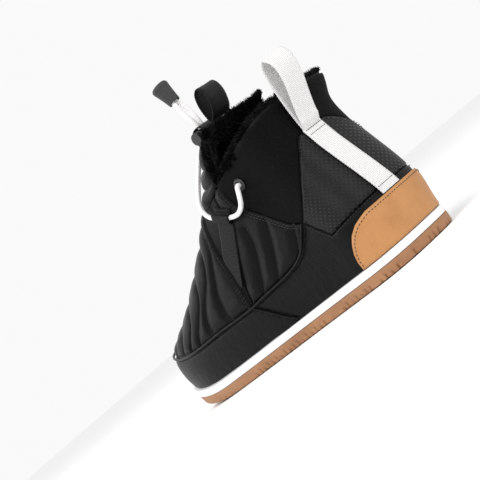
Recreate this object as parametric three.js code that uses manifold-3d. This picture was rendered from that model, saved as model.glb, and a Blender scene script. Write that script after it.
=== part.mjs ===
// Quilted slip-on snow bootie, left foot, seen with the toe towards +Y and the sole on Z = 0.
// Millimetres. The upper is one smooth boot surface; every sewn panel is a slice of that surface,
// cut with an outline drawn in side view, so neighbours share an edge with a small seam gap.
import * as THREE from 'three';
import { mergeVertices } from 'three/addons/utils/BufferGeometryUtils.js';
import Module from 'manifold-3d';

// ---------------------------------------------------------------- driving dimensions
const soleLength = 294;        // rubber sole, heel to toe
const ballWidth = 101;         // upper at the ball of the foot
const collarHeight = 136;      // top of the elastic panel at the heel, above the ground
const panelThickness = 2.6;    // outer fabric with its foam
const liningThickness = 5.2;   // fur lining with its backing
const seamGap = 0.6;           // gap between two sewn panels
const layerGap = 0.3;          // gap between two layers that lie on each other
const outsoleThickness = 7.7;
const midsoleThickness = 5.7;
const soleLedge = 2.4;         // the sole stands out from the upper by this much
const toeSpring = 12;          // lift of the toe end of the sole
const forefootCurve = 7;       // inward curve of the forefoot
const strapWidth = 20;         // heel webbing and both pull loops
const webbingThickness = 1.3;
const counterThickness = 2.1;  // leather patch over the heel
const pipingRadius = 0.9;
const cordRadius = 1.75;
const cordSpacing = cordRadius + 0.2;  // half the distance between the two strands in the lock
const lockRadius = 4.8;
const lockLength = 18.5;
const plungerRadius = 3.2;
const plungerStroke = 2;
const bellRadius = 7;
const bellLength = 17.5;
const eyeletInnerRadius = cordRadius + 0.4;
const eyeletOuterRadius = eyeletInnerRadius + 2.55;
const cordSlotHalf = cordSpacing + cordRadius + 0.4;  // room for both strands side by side
const cordSlotDepth = cordRadius + 0.35;

const scaleY = soleLength / 294;
const scaleX = ballWidth / 101;
const scaleZ = collarHeight / 136;
const soleTop = outsoleThickness + layerGap + midsoleThickness;
const upperBottom = soleTop + layerGap;
const boardTop = upperBottom + 1.8;
const liningBottom = boardTop + layerGap;

// ---------------------------------------------------------------- the boot surface
// Smooth curve through [height, value] rows that never overshoots them.
function smoothTable(rows, valueScale) {
  const x = rows.map((row) => row[0] * scaleZ);
  const y = rows.map((row) => row[1] * valueScale);
  const last = rows.length - 1;
  const chord = (i) => (y[i + 1] - y[i]) / (x[i + 1] - x[i]);
  const slope = y.map((value, i) => {
    if (i === 0) return chord(0);
    if (i === last) return chord(last - 1);
    const product = chord(i - 1) * chord(i);
    return product <= 0 ? 0 : (2 * product) / (chord(i - 1) + chord(i));
  });
  return (height) => {
    const h = Math.min(Math.max(height, x[0]), x[last]);
    let i = 0;
    while (i < last - 1 && h > x[i + 1]) i += 1;
    const span = x[i + 1] - x[i];
    const t = (h - x[i]) / span;
    const start = (2 * t ** 3 - 3 * t ** 2 + 1) * y[i] + (t ** 3 - 2 * t ** 2 + t) * span * slope[i];
    const end = (3 * t ** 2 - 2 * t ** 3) * y[i + 1] + (t ** 3 - t ** 2) * span * slope[i + 1];
    return start + end;
  };
}
const backLine = smoothTable([[0, -144], [30, -145], [45, -143.5], [62, -139], [80, -133],
  [100, -127], [118, -124], [140, -125], [160, -125]], scaleY);
const frontLine = smoothTable([[0, 142], [14, 144], [25, 147], [35, 146], [44, 140], [50, 131],
  [56, 119], [62, 106], [72, 84], [85, 58], [98, 33], [110, 13], [122, -6], [132, -20], [140, -30],
  [146, -38], [151, -48], [155, -58], [158, -67], [160, -73]], scaleY);
const heelHalfWidth = smoothTable([[0, 40], [14, 40], [45, 39.5], [70, 37.5], [95, 36],
  [115, 35.5], [140, 37], [160, 33]], scaleX);
const ballHalfWidth = smoothTable([[0, 50], [14, 50.5], [30, 51], [45, 49.5], [60, 46.5],
  [75, 43.5], [90, 40], [105, 37.5], [120, 36], [135, 35], [150, 33], [160, 32.5]], scaleX);
const widestPoint = smoothTable([[0, 65], [14, 65], [45, 55], [60, 35], [80, 0], [100, -35],
  [120, -58], [140, -70], [160, -78]], scaleY);
const heelRound = 40 * scaleY;
const heelShare = 0.28;
const sideShare = 0.27;
const toeShare = 1 - heelShare - sideShare;

// Point of the boot surface. turn runs 0 at the heel, 1 at the toe, 2 at the heel again;
// below 1 it is the outer (left) side.
function surfacePoint(turn, height) {
  const side = turn < 1 ? -1 : 1;
  const way = turn <= 1 ? turn : 2 - turn;
  const back = backLine(height);
  const widest = widestPoint(height);
  let x = 0;
  let y = 0;
  if (way < heelShare) {
    const angle = (way / heelShare) * Math.PI / 2;
    y = back + heelRound - heelRound * Math.abs(Math.cos(angle)) ** (2 / 2.9);
    x = heelHalfWidth(height) * Math.abs(Math.sin(angle)) ** (2 / 2.9);
  } else if (way < heelShare + sideShare) {
    const t = (way - heelShare) / sideShare;
    const ease = t * t * (3 - 2 * t);
    y = back + heelRound + (widest - back - heelRound) * t;
    x = heelHalfWidth(height) * (1 - ease) + ballHalfWidth(height) * ease;
  } else {
    const angle = ((way - heelShare - sideShare) / toeShare) * Math.PI / 2;
    y = widest + (frontLine(height) - widest) * Math.abs(Math.sin(angle)) ** (2 / 2.15);
    x = ballHalfWidth(height) * Math.abs(Math.cos(angle)) ** (2 / 2.15);
  }
  return new THREE.Vector3(side * x, y, height);
}
function surfaceNormal(turn, height) {
  const step = 0.004;
  const around = surfacePoint((turn + step) % 2, height)
    .sub(surfacePoint((turn - step + 2) % 2, height));
  const up = surfacePoint(turn, height + 0.7).sub(surfacePoint(turn, height - 0.7));
  return up.cross(around).normalize();
}
function offsetPoint(turn, height, distance) {
  return surfacePoint(turn, height).addScaledVector(surfaceNormal(turn, height), distance);
}
// Where on the left side the surface passes a given side-view point.
function turnAt(y, height) {
  let low = 0.001;
  let high = 0.999;
  for (let i = 0; i < 40; i += 1) {
    const middle = (low + high) / 2;
    if (surfacePoint(middle, height).y < y) low = middle;
    else high = middle;
  }
  return (low + high) / 2;
}
// The rear of the boot is fuller on its inner side. The shells take this on before they are cut, and
// every other piece takes it on as it is added.
const innerHeelBulge = smoothTable([[0, 0], [14, 0], [43, 6], [75, 11], [100, 14], [118, 17],
  [130, 23], [138, 26], [160, 26]], scaleX);
function easeBetween(low, high, value) {
  const t = Math.min(Math.max((value - low) / (high - low), 0), 1);
  return t * t * (3 - 2 * t);
}
function bulgeAt(x, y, z) {
  return innerHeelBulge(z) * easeBetween(6, 32, x / scaleX) * easeBetween(-53, -108, y / scaleY);
}
// Toe spring and forefoot curve, applied to every finished piece.
function shapeToFoot(geometry, cutFromShell) {
  const position = geometry.attributes.position;
  for (let i = 0; i < position.count; i += 1) {
    const x = position.getX(i);
    const y = position.getY(i) / scaleY;
    const z = position.getZ(i);
    const lift = toeSpring * Math.max(0, (y - 60) / 90) ** 2;
    const curve = forefootCurve * Math.max(0, (y + 30) / 180) ** 2;
    const bulge = cutFromShell ? 0 : bulgeAt(x, position.getY(i), z);
    position.setXYZ(i, x + curve + bulge, position.getY(i), z + lift);
  }
  return geometry;
}

// ---------------------------------------------------------------- solids
const wasm = await Module();
wasm.setup();

// Closed solid from a grid of points: grid[layer][row][column], two layers, rows may wrap.
function gridSolid(layers, wrapRows) {
  const rows = layers[0].length;
  const columns = layers[0][0].length;
  const points = [];
  layers.forEach((layer) => layer.forEach((row) => row.forEach((p) => points.push(p.x, p.y, p.z))));
  const at = (layer, row, column) => (layer * rows + (row % rows)) * columns + column;
  const faces = [];
  const quad = (a, b, c, d) => faces.push(a, b, c, a, c, d);
  const rowSteps = wrapRows ? rows : rows - 1;
  for (let r = 0; r < rowSteps; r += 1) {
    for (let c = 0; c < columns - 1; c += 1) {
      quad(at(1, r, c), at(1, r, c + 1), at(1, r + 1, c + 1), at(1, r + 1, c));
      quad(at(0, r, c), at(0, r + 1, c), at(0, r + 1, c + 1), at(0, r, c + 1));
    }
    quad(at(0, r, 0), at(1, r, 0), at(1, r + 1, 0), at(0, r + 1, 0));
    const end = columns - 1;
    quad(at(0, r, end), at(0, r + 1, end), at(1, r + 1, end), at(1, r, end));
  }
  if (!wrapRows) {
    for (let c = 0; c < columns - 1; c += 1) {
      quad(at(0, 0, c), at(0, 0, c + 1), at(1, 0, c + 1), at(1, 0, c));
      const end = rows - 1;
      quad(at(0, end, c), at(1, end, c), at(1, end, c + 1), at(0, end, c + 1));
    }
  }
  const geometry = new THREE.BufferGeometry();
  geometry.setAttribute('position', new THREE.Float32BufferAttribute(points, 3));
  geometry.setIndex(faces);
  return geometry;
}
// Signed volume, used to turn a solid's faces outward.
function signedVolume(geometry) {
  const p = geometry.attributes.position;
  const index = geometry.index.array;
  const [a, b, c] = [new THREE.Vector3(), new THREE.Vector3(), new THREE.Vector3()];
  let volume = 0;
  for (let i = 0; i < index.length; i += 3) {
    a.fromBufferAttribute(p, index[i]);
    b.fromBufferAttribute(p, index[i + 1]);
    c.fromBufferAttribute(p, index[i + 2]);
    volume += a.dot(b.cross(c)) / 6;
  }
  return volume;
}
function facingOut(geometry) {
  if (signedVolume(geometry) > 0) return geometry;
  const index = geometry.index.array;
  for (let i = 0; i < index.length; i += 3) [index[i + 1], index[i + 2]] = [index[i + 2], index[i + 1]];
  return geometry;
}
function toSolid(geometry) {
  const bare = new THREE.BufferGeometry();
  bare.setAttribute('position', geometry.attributes.position.clone());
  if (geometry.index) bare.setIndex(geometry.index.clone());
  const joined = facingOut(mergeVertices(bare, 1e-4));
  const mesh = new wasm.Mesh({
    numProp: 3,
    vertProperties: new Float32Array(joined.attributes.position.array),
    triVerts: new Uint32Array(joined.index.array),
  });
  return new wasm.Manifold(mesh);
}
function toGeometry(solid) {
  const mesh = solid.getMesh();
  const geometry = new THREE.BufferGeometry();
  geometry.setAttribute('position', new THREE.Float32BufferAttribute(mesh.vertProperties, 3));
  geometry.setIndex(Array.from(mesh.triVerts));
  return geometry;
}
function box(x0, x1, y0, y1, z0, z1) {
  const shape = new THREE.BoxGeometry(x1 - x0, y1 - y0, z1 - z0);
  shape.translate((x0 + x1) / 2, (y0 + y1) / 2, (z0 + z1) / 2);
  return toSolid(shape);
}
function rodAlongX(radius, x0, x1, y, z, sides) {
  const shape = new THREE.CylinderGeometry(radius, radius, x1 - x0, sides);
  shape.rotateZ(Math.PI / 2);
  shape.translate((x0 + x1) / 2, y, z);
  return toSolid(shape);
}

// Shell of the boot between two distances from its surface.
const panelTurns = [];
const cellsHeel = 11;
const cellsSide = 13;
const cellsToe = 11;
for (let i = 0; i < cellsHeel; i += 1) panelTurns.push((i / cellsHeel) * heelShare);
for (let i = 0; i < cellsSide; i += 1) panelTurns.push(heelShare + (i / cellsSide) * sideShare);
for (let i = 0; i <= cellsToe; i += 1) panelTurns.push(heelShare + sideShare + (i / cellsToe) * toeShare);
const aroundTurns = [...panelTurns, ...panelTurns.slice(1, -1).reverse().map((turn) => 2 - turn)];
const panelHeights = [26, 37, 44, 50, 57, 65, 76, 90, 104, 118, 130, 141, 149,
  155].map((height) => height * scaleZ);
function shell(inner, outer, bottom, top) {
  const rows = [liningBottom, ...panelHeights].filter((h) => h > bottom + 1 && h < top - 2);
  const heights = [bottom, ...rows, top];
  const layer = (distance) => aroundTurns.map((turn) => heights.map((height) => {
    const point = offsetPoint(turn, height, distance);
    if (height === bottom) point.z = bottom;
    point.x += bulgeAt(point.x, point.y, point.z);
    return point;
  }));
  return toSolid(gridSolid([layer(inner), layer(outer)], true));
}

// Side-view outlines, [y, z] in the base size. A trailing shrink keeps the seam gap.
const far = 175;
const goreRearTop = [-124, 136.5];
const goreFrontTop = [-51.5, 122];
const goreCorner = [-97, 63.5];
const heelSeam = [[-124, 110], [-122.8, 101], [-118.7, 90], [-111.6, 78.5], [-103.5, 69.5]];
const guardCorner = [-112, 45];
const guardRear = [-143, 49];
const seamJunction = [-10, 41];
const goreLowerEdge = [[-56, 105], [-66, 91.5], [-78, 77.5], [-86, 69]];
const pipingLine = [[-88, 55.5], [-80.5, 49.5], [-70, 45.5], [-58, 43.5], [-42, 42.5], [-26, 42]];
const waistSeam = [[-21, 31], [-31, 21], [-42, 11], [-42, 4]];
const quarterFront = [[-40, 104], [-25, 76], [-14, 53]];
const vampRear = [[-11.5, 56], [-13.5, 80], [-12.5, 100], [-11.5, 113]];
const collarBottomRear = [-41, 118];
const collarBottomFront = [[-5, 122], [2, 128]];
const outlines = {
  gore: [[-far, 136.5], goreRearTop, goreFrontTop, ...goreLowerEdge, goreCorner,
    ...heelSeam.slice().reverse(), [-far, 110]],
  heel_panel: [[-far, 110], ...heelSeam, goreCorner, guardCorner, guardRear, [-far, 49]],
  rear_guard: [[-far, 49], guardRear, guardCorner, goreCorner, ...pipingLine, seamJunction,
    ...waistSeam, [-far, 4]],
  toe_rand: [...waistSeam.slice().reverse(), seamJunction, [far, 42.5], [far, 4]],
  quarter: [goreCorner, ...goreLowerEdge.slice().reverse(), goreFrontTop,
    collarBottomRear, ...quarterFront, seamJunction, ...pipingLine.slice().reverse()],
  gusset: [collarBottomRear, ...vampRear.slice().reverse(), seamJunction,
    ...quarterFront.slice().reverse()],
  vamp: [seamJunction, ...vampRear, ...collarBottomFront, [far, 150], [far, 42.5]],
  front_collar: [goreFrontTop, [-51, 131], [-54.5, 143], [-62, 151.5], [-68, 170], [far, 170], [far, 150],
    ...collarBottomFront.slice().reverse(), vampRear[3], collarBottomRear],
  heel_counter: [[-far, 43.3], [-138, 43.3], [-131, 40.5], [-125.5, 36.5], [-121, 31],
    [-118, 26], [-116.2, 20.5], [-116, 15], [-117, 4], [-far, 4]],
  lining: [[-far, 4], [-far, 138.5], [-124, 138.5], [-53, 124.4], [-61.5, 135], [-67, 147],
    [-69, 170], [far, 170], [far, 4]],
};
// Moves every edge of an outline inward by the same distance.
function shrinkOutline(points, distance) {
  let area = 0;
  points.forEach((p, i) => {
    const q = points[(i + 1) % points.length];
    area += p[0] * q[1] - q[0] * p[1];
  });
  const sign = area > 0 ? 1 : -1;
  return points.map((p, i) => {
    const before = points[(i - 1 + points.length) % points.length];
    const after = points[(i + 1) % points.length];
    const d1 = [p[0] - before[0], p[1] - before[1]];
    const d2 = [after[0] - p[0], after[1] - p[1]];
    const l1 = Math.hypot(...d1);
    const l2 = Math.hypot(...d2);
    const n1 = [-d1[1] / l1 * sign, d1[0] / l1 * sign];
    const n2 = [-d2[1] / l2 * sign, d2[0] / l2 * sign];
    const share = distance / (1 + n1[0] * n2[0] + n1[1] * n2[1]);
    return [p[0] + (n1[0] + n2[0]) * share, p[1] + (n1[1] + n2[1]) * share];
  });
}
// Cutter: the side-view outline pushed through the boot from x0 to x1.
function cutter(outline, gap, x0, x1) {
  const sized = outline.map((p) => [p[0] * scaleY, p[1] * scaleZ]);
  const shape = new THREE.Shape(shrinkOutline(sized, gap).map((p) => new THREE.Vector2(p[0], p[1])));
  const prism = new THREE.ExtrudeGeometry(shape, { depth: x1 - x0, bevelEnabled: false });
  const turned = prism.attributes.position;
  for (let i = 0; i < turned.count; i += 1) {
    turned.setXYZ(i, x0 + turned.getZ(i), turned.getX(i), turned.getY(i));
  }
  prism.deleteAttribute('normal');
  prism.deleteAttribute('uv');
  return toSolid(prism);
}

// Ribbon along X: a side-view path given thickness, from x0 to x1.
function ribbon(path, thickness, x0, x1) {
  const curve = new THREE.CatmullRomCurve3(path.map((p) => new THREE.Vector3(0, p[0], p[1])));
  const steps = path.length * 3;
  const layers = [[], []];
  for (let i = 0; i <= steps; i += 1) {
    const point = curve.getPoint(i / steps);
    const along = curve.getTangent(i / steps);
    const across = new THREE.Vector3(0, -along.z, along.y).multiplyScalar(thickness / 2);
    [-1, 1].forEach((side, layer) => {
      const edge = point.clone().addScaledVector(across, side);
      layers[layer].push([new THREE.Vector3(x0, edge.y, edge.z), new THREE.Vector3(x1, edge.y, edge.z)]);
    });
  }
  return toSolid(gridSolid(layers, false));
}
// Round tube through points, closed at both ends.
function tube(points, radius, sides, steps) {
  const curve = new THREE.CatmullRomCurve3(points, false, 'centripetal');
  const ring = [];
  for (let i = 0; i < sides; i += 1) {
    const angle = (i / sides) * 2 * Math.PI;
    ring.push(new THREE.Vector2(radius * Math.cos(angle), radius * Math.sin(angle)));
  }
  return new THREE.ExtrudeGeometry(new THREE.Shape(ring), { extrudePath: curve, steps, bevelEnabled: false });
}
function mirrored(geometry) {
  const copy = geometry.clone();
  copy.scale(-1, 1, 1);
  return copy;
}

// ---------------------------------------------------------------- the group and its materials
const group = new THREE.Group();
group.name = 'quilted_snow_bootie';
const paint = (color, roughness) => new THREE.MeshStandardMaterial({ color, roughness });
const materials = {
  nylon: paint(0x1b1a1a, 0.45),
  elastic: paint(0x151414, 0.85),
  webbing: paint(0x161616, 0.8),
  whiteWebbing: paint(0xf2f1ef, 0.8),
  leather: paint(0xc18a4f, 0.6),
  gum: paint(0xa06f47, 0.7),
  foam: paint(0xeeecea, 0.6),
  fur: paint(0x0e0d0d, 1),
  board: paint(0x8b8378, 0.9),
  cord: paint(0xf4f3f1, 0.7),
  plastic: paint(0x242323, 0.55),
  metal: paint(0xb8bcc0, 0.35),
};
function add(name, geometry, material, cutFromShell = false) {
  const bare = new THREE.BufferGeometry();
  bare.setAttribute('position', geometry.attributes.position.clone());
  if (geometry.index) bare.setIndex(geometry.index.clone());
  const joined = facingOut(mergeVertices(shapeToFoot(bare, cutFromShell), 1e-4));
  const shown = joined.toNonIndexed();
  shown.computeVertexNormals();
  const mesh = new THREE.Mesh(shown, material);
  mesh.name = name;
  group.add(mesh);
}

// ---------------------------------------------------------------- sole
// Slab following the boot outline, its top and bottom flat before the toe spring.
function soleSlab(z0, z1, level, ledgeBottom, ledgeTop) {
  const turns = panelTurns.filter((turn) => turn > 0.02 && turn < 0.99);
  turns.unshift(0.02);
  turns.push(0.99);
  const columns = [-1, -0.5, 0, 0.5, 1];
  const layer = (z, ledge) => turns.map((turn) => {
    const edge = surfacePoint(turn, level);
    const out = surfaceNormal(turn, level).setZ(0).normalize();
    edge.addScaledVector(out, ledge);
    return columns.map((share) => new THREE.Vector3(Math.abs(edge.x) * share, edge.y, z));
  });
  return gridSolid([layer(z0, ledgeBottom), layer(z1, ledgeTop)], false);
}
const treadPitch = 15 * scaleY;
const treadDepth = 2.4;
let outsole = toSolid(soleSlab(0, outsoleThickness, upperBottom, soleLedge - 0.6, soleLedge));
const grooves = [];
for (let y = -132 * scaleY; y < 138 * scaleY; y += treadPitch) {
  grooves.push(box(26 * scaleX, 90, y, y + 2.6, -1, treadDepth));
  grooves.push(box(-90, -26 * scaleX, y, y + 2.6, -1, treadDepth));
}
grooves.forEach((groove) => { outsole = outsole.subtract(groove); });
add('outsole', toGeometry(outsole), materials.gum);
add('midsole', soleSlab(outsoleThickness + layerGap, soleTop, upperBottom, soleLedge + 0.3,
  soleLedge + 0.1), materials.foam);
const boardInset = -panelThickness - 2 * layerGap;
add('insole_board', soleSlab(upperBottom, boardTop, upperBottom + 1, boardInset, boardInset),
  materials.board);
const liningInset = panelThickness + 1.5 * layerGap;
const footbedInset = -liningInset - liningThickness - 1.2;
add('footbed', soleSlab(boardTop + layerGap, boardTop + 4.2, boardTop + 3, footbedInset,
  footbedInset), materials.fur);

// ---------------------------------------------------------------- upper panels
const shellTop = 159.2 * scaleZ;
const panelShell = shell(-panelThickness, 0, upperBottom, shellTop);
const elasticShell = shell(-panelThickness, -0.5, upperBottom, shellTop);
const half = 90;
const centreGap = layerGap / 2 + 0.15;
function panel(name, source, outline, sides, material) {
  const spans = { both: [-half, half], left: [-half, -centreGap], right: [centreGap, half] };
  sides.forEach((side) => {
    const [x0, x1] = spans[side];
    const solid = source.intersect(cutter(outlines[outline], seamGap / 2, x0, x1));
    const label = side === 'both' ? name : `${name}_${side}`;
    add(label, toGeometry(solid), material, true);
  });
}
panel('toe_rand', panelShell, 'toe_rand', ['both'], materials.nylon);
panel('rear_guard', panelShell, 'rear_guard', ['left', 'right'], materials.nylon);
panel('heel_panel', panelShell, 'heel_panel', ['both'], materials.nylon);
panel('gore', elasticShell, 'gore', ['left', 'right'], materials.elastic);
panel('quarter', panelShell, 'quarter', ['left', 'right'], materials.nylon);
panel('gusset', elasticShell, 'gusset', ['left', 'right'], materials.elastic);
panel('vamp', panelShell, 'vamp', ['both'], materials.nylon);
panel('front_collar', panelShell, 'front_collar', ['both'], materials.nylon);
const liningShell = shell(-liningInset - liningThickness, -liningInset, liningBottom, shellTop);
panel('lining', liningShell, 'lining', ['left', 'right'], materials.fur);
const counterShell = shell(layerGap, layerGap + counterThickness, upperBottom, 60 * scaleZ);
panel('heel_counter', counterShell, 'heel_counter', ['both'], materials.leather);

// Piping over the seam between the quilted parts and the guards, toe to the elastic corner.
const pipingPoints = [];
const pipingHeight = 42.2 * scaleZ;
[0.994, 0.96, 0.92, 0.87, 0.81, 0.75, 0.69, 0.63, 0.57, 0.51].forEach((turn) => {
  pipingPoints.push(offsetPoint(turn, pipingHeight, pipingRadius + layerGap + 0.1));
});
[seamJunction, ...pipingLine.slice().reverse(), goreCorner].forEach(([y, z]) => {
  const height = z * scaleZ;
  pipingPoints.push(offsetPoint(turnAt(y * scaleY, height), height, pipingRadius + layerGap + 0.1));
});
const piping = tube(pipingPoints, pipingRadius, 6, 34);
add('piping_left', piping, materials.nylon);
add('piping_right', mirrored(piping), materials.nylon);

// ---------------------------------------------------------------- webbing
const strapShell = shell(layerGap, layerGap + webbingThickness, upperBottom, shellTop);
const strapOutline = [[-far, 43.9], [-100, 43.9], [-100, 109.9], [-far, 109.9]];
const strapHalf = strapWidth / 2;
const strap = strapShell.intersect(cutter(strapOutline, 0, -strapHalf, strapHalf));
add('heel_strap', toGeometry(strap), materials.whiteWebbing, true);

// Both ends of a loop are sewn down together; side-view points relative to the stitching.
function sized(path) {
  return path.map(([y, z]) => [y * scaleY, z * scaleZ]);
}
const heelLoop = sized([[-128.1, 110.8], [-129, 117], [-134, 127], [-140, 138], [-144, 150],
  [-143.4, 158.5], [-138, 163], [-132.6, 159.5], [-129.8, 149], [-128, 137], [-126.8, 124],
  [-126.4, 110.8]]);
add('heel_pull_loop', toGeometry(ribbon(heelLoop, webbingThickness, -strapHalf, strapHalf)),
  materials.whiteWebbing);
const frontLoop = sized([[-63, 157.9], [-61.9, 163.7], [-62.4, 172.1], [-65.7, 179.4], [-71.2, 181.8],
  [-75, 178.1], [-74.7, 170.8], [-70.3, 162.8], [-64.8, 158.2]]);
add('front_pull_loop', toGeometry(ribbon(frontLoop, webbingThickness, -strapHalf, strapHalf)),
  materials.webbing);

// Lock and the webbing that holds it on the front collar.
const lockY = -42 * scaleY;
const lockLift = lockRadius - 4.8;  // a thicker lock sits higher, and its webbing is wider round it
const lockZ = 148.2 * scaleZ + 9.3 + lockLift;
const keeperHalf = 8;
const keeperPath = [[-15.2, -1.9 - lockLift], [-11 - lockLift, -1.2], [-8.2 - lockLift, 3.2],
  [-4, 5.9 + lockLift], [1.5, 5.9 + lockLift], [5.4 + lockLift, 3], [6.4 + lockLift, -2],
  [6.4 + lockLift, -7.5], [6.2 + lockLift, -11.8 - lockLift]].map(([dy, dz]) => [lockY + dy, lockZ + dz]);
let keeper = ribbon(keeperPath, 1, -keeperHalf, keeperHalf);
const keeperSlotHalf = cordSlotHalf + 0.5;
const keeperSlotDepth = cordSlotDepth + 0.5;
keeper = keeper.subtract(box(-keeperSlotHalf, keeperSlotHalf, lockY - keeperSlotDepth,
  lockY + keeperSlotDepth, lockZ + 3, lockZ + 9 + lockLift));
add('lock_keeper', toGeometry(keeper), materials.webbing);

const lockOpenEnd = -7.5;
const lockClosedEnd = lockOpenEnd + lockLength;
const boreEnd = lockClosedEnd - 1.6;
let lockBody = rodAlongX(lockRadius, lockOpenEnd, lockClosedEnd, lockY, lockZ, 28);
lockBody = lockBody.subtract(rodAlongX(plungerRadius + layerGap, lockOpenEnd - 1, boreEnd, lockY, lockZ, 24));
lockBody = lockBody.subtract(box(-cordSlotHalf, cordSlotHalf, lockY - cordSlotDepth,
  lockY + cordSlotDepth, lockZ - 9, lockZ + 9));
add('cord_lock_body', toGeometry(lockBody), materials.plastic);
const plungerEnd = 5.5;
let plunger = rodAlongX(plungerRadius, -11, plungerEnd, lockY, lockZ, 24);
plunger = plunger.add(rodAlongX(lockRadius - 0.1, -12.2, -10, lockY, lockZ, 24));
plunger = plunger.subtract(box(-cordSlotHalf - plungerStroke, cordSlotHalf, lockY - cordSlotDepth,
  lockY + cordSlotDepth, lockZ - 9, lockZ + 9));
add('cord_lock_plunger', toGeometry(plunger), materials.plastic);
const springPoints = [];
const springTurns = 3;
for (let i = 0; i <= springTurns * 8; i += 1) {
  const angle = (i / 8) * 2 * Math.PI;
  const x = plungerEnd + 0.7 + (i / (springTurns * 8)) * (boreEnd - plungerEnd - 1.4);
  springPoints.push(new THREE.Vector3(x, lockY + 2.3 * Math.cos(angle), lockZ + 2.3 * Math.sin(angle)));
}
add('cord_lock_spring', tube(springPoints, 0.35, 5, springTurns * 8), materials.metal);

// ---------------------------------------------------------------- keeper straps on the sides
// Webbing from the sole seam up to a tunnel that arches over the cord.
function keeperStrap() {
  const rows = [[-51, 104, -37.5, 112, 0], [-49.5, 102, -36.5, 110, 0], [-48.5, 100, -35.5, 108, 1],
    [-47.5, 98, -34.5, 106, 1], [-46.5, 96, -33.5, 104, 1], [-45, 94.5, -32, 102, 0],
    [-43.5, 92, -30.5, 99.5, 0], [-38, 85, -24, 90.5, 0], [-31, 76, -16.5, 80.5, 0],
    [-24.5, 68, -15.5, 71, 0], [-18.5, 60.5, -14.5, 62, 0], [-15.5, 56.5, -14, 57, 0]];
  const columns = 5;
  const layer = (thickness) => rows.map(([rearY, rearZ, frontY, frontZ, arch]) => {
    const line = [];
    for (let i = 0; i < columns; i += 1) {
      const t = i / (columns - 1);
      const y = (rearY + (frontY - rearY) * t) * scaleY;
      const z = (rearZ + (frontZ - rearZ) * t) * scaleZ;
      const lift = layerGap + arch * (2 * cordRadius + 2 * layerGap) + thickness;
      line.push(offsetPoint(turnAt(y, z), z, lift));
    }
    return line;
  });
  return gridSolid([layer(0), layer(webbingThickness)], false);
}
const keeperStrapLeft = keeperStrap();
add('keeper_strap_left', keeperStrapLeft, materials.webbing);
add('keeper_strap_right', mirrored(keeperStrapLeft), materials.webbing);

// ---------------------------------------------------------------- eyelets and cord
const eyeletBase = [-72, 111.5];
const eyeletSpot = [eyeletBase[0] * scaleY, eyeletBase[1] * scaleZ];
const eyeletTurn = turnAt(...eyeletSpot);
function eyelet() {
  const low = 0.05;
  const high = 1.1;
  const profile = [[eyeletInnerRadius, low], [eyeletOuterRadius, low], [eyeletOuterRadius, 0.4],
    [eyeletOuterRadius - 0.7, high], [eyeletInnerRadius + 0.5, high], [eyeletInnerRadius, 0.6],
    [eyeletInnerRadius, low]];
  const ring = new THREE.LatheGeometry(profile.map((p) => new THREE.Vector2(p[0], p[1])), 20);
  const normal = surfaceNormal(eyeletTurn, eyeletSpot[1]);
  const turnTo = new THREE.Quaternion().setFromUnitVectors(new THREE.Vector3(0, 1, 0), normal);
  ring.applyQuaternion(turnTo);
  const centre = surfacePoint(eyeletTurn, eyeletSpot[1]);
  ring.translate(centre.x, centre.y, centre.z);
  return ring;
}
const eyeletLeft = eyelet();
add('eyelet_left', eyeletLeft, materials.plastic);
add('eyelet_right', mirrored(eyeletLeft), materials.plastic);

// Elastic cord: out of the eyelet, under the webbing tunnel, round the front collar to the lock.
// Each row ends with the room between the cord and the boot.
const sideRoute = [[...eyeletBase, -1.25], [...eyeletBase, 0.85], [-70.4, 106.5, 2.85],
  [-65, 100, 2.65], [-57.5, 97.2, 1.65], [-51.5, 97.8, 0.75], [-47, 99.2, 0.5], [-41, 101.8, 0.5],
  [-35, 105, 0.5], [-29.5, 108.6, 0.85]];
const collarRoute = [[0.68, 114, 1.25], [0.75, 121, 1.25], [0.81, 129.5, 1.25], [0.845, 137.5, 1.25],
  [0.87, 144, 1.25]];
const cordPoints = sideRoute.map(([y, z, room]) => {
  const height = z * scaleZ;
  return offsetPoint(turnAt(y * scaleY, height), height, cordRadius + room);
});
collarRoute.forEach(([turn, z, room]) => {
  cordPoints.push(offsetPoint(turn, z * scaleZ, cordRadius + room));
});
const cordEnd = lockRadius + 0.1;
const lockEntry = [[-12.5, 6.5, -9.8], [-7, 2.2, -8 - lockLift],
  [-cordSpacing - 1.45, 0.3, -7.2 - lockLift], [-cordSpacing - 0.05, 0, -5 - lockLift],
  [-cordSpacing, 0, 0], [-cordSpacing, 0, cordEnd]];
lockEntry.forEach(([x, dy, dz]) => {
  cordPoints.push(new THREE.Vector3(x, lockY + dy, lockZ + dz));
});
const cord = tube(cordPoints, cordRadius, 8, 44);
add('bungee_left', cord, materials.cord);
add('bungee_right', mirrored(cord), materials.cord);

// Tail strands above the lock and the bell that joins them. Each strand starts with a round end
// centred on the axis that the tail swings about.
const tailPivot = cordEnd + layerGap + cordRadius;
const bellTilt = 0.16;
const bellY = lockY + 4.6;
const bellZ = lockZ + 31.5;
const bellAxis = new THREE.Vector3(0, Math.sin(bellTilt), Math.cos(bellTilt));
const bellBase = new THREE.Vector3(0, bellY, bellZ);
const alongBell = (distance, x) => bellBase.clone().addScaledVector(bellAxis, distance).setX(x);
const tailCord = tube([
  new THREE.Vector3(-cordSpacing, lockY, lockZ + tailPivot),
  new THREE.Vector3(-2.7, lockY + 0.6, lockZ + 13),
  new THREE.Vector3(-3.4, lockY + 2, lockZ + 20),
  new THREE.Vector3(-2.7, lockY + 3.4, lockZ + 26.5),
  alongBell(-1.5, -cordSpacing),
  alongBell(4.4, -cordSpacing),
], cordRadius, 8, 11);
const tailBall = new THREE.SphereGeometry(cordRadius, 8, 8);
tailBall.rotateX(Math.PI / 2);
tailBall.translate(-cordSpacing, lockY, lockZ + tailPivot);
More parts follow.
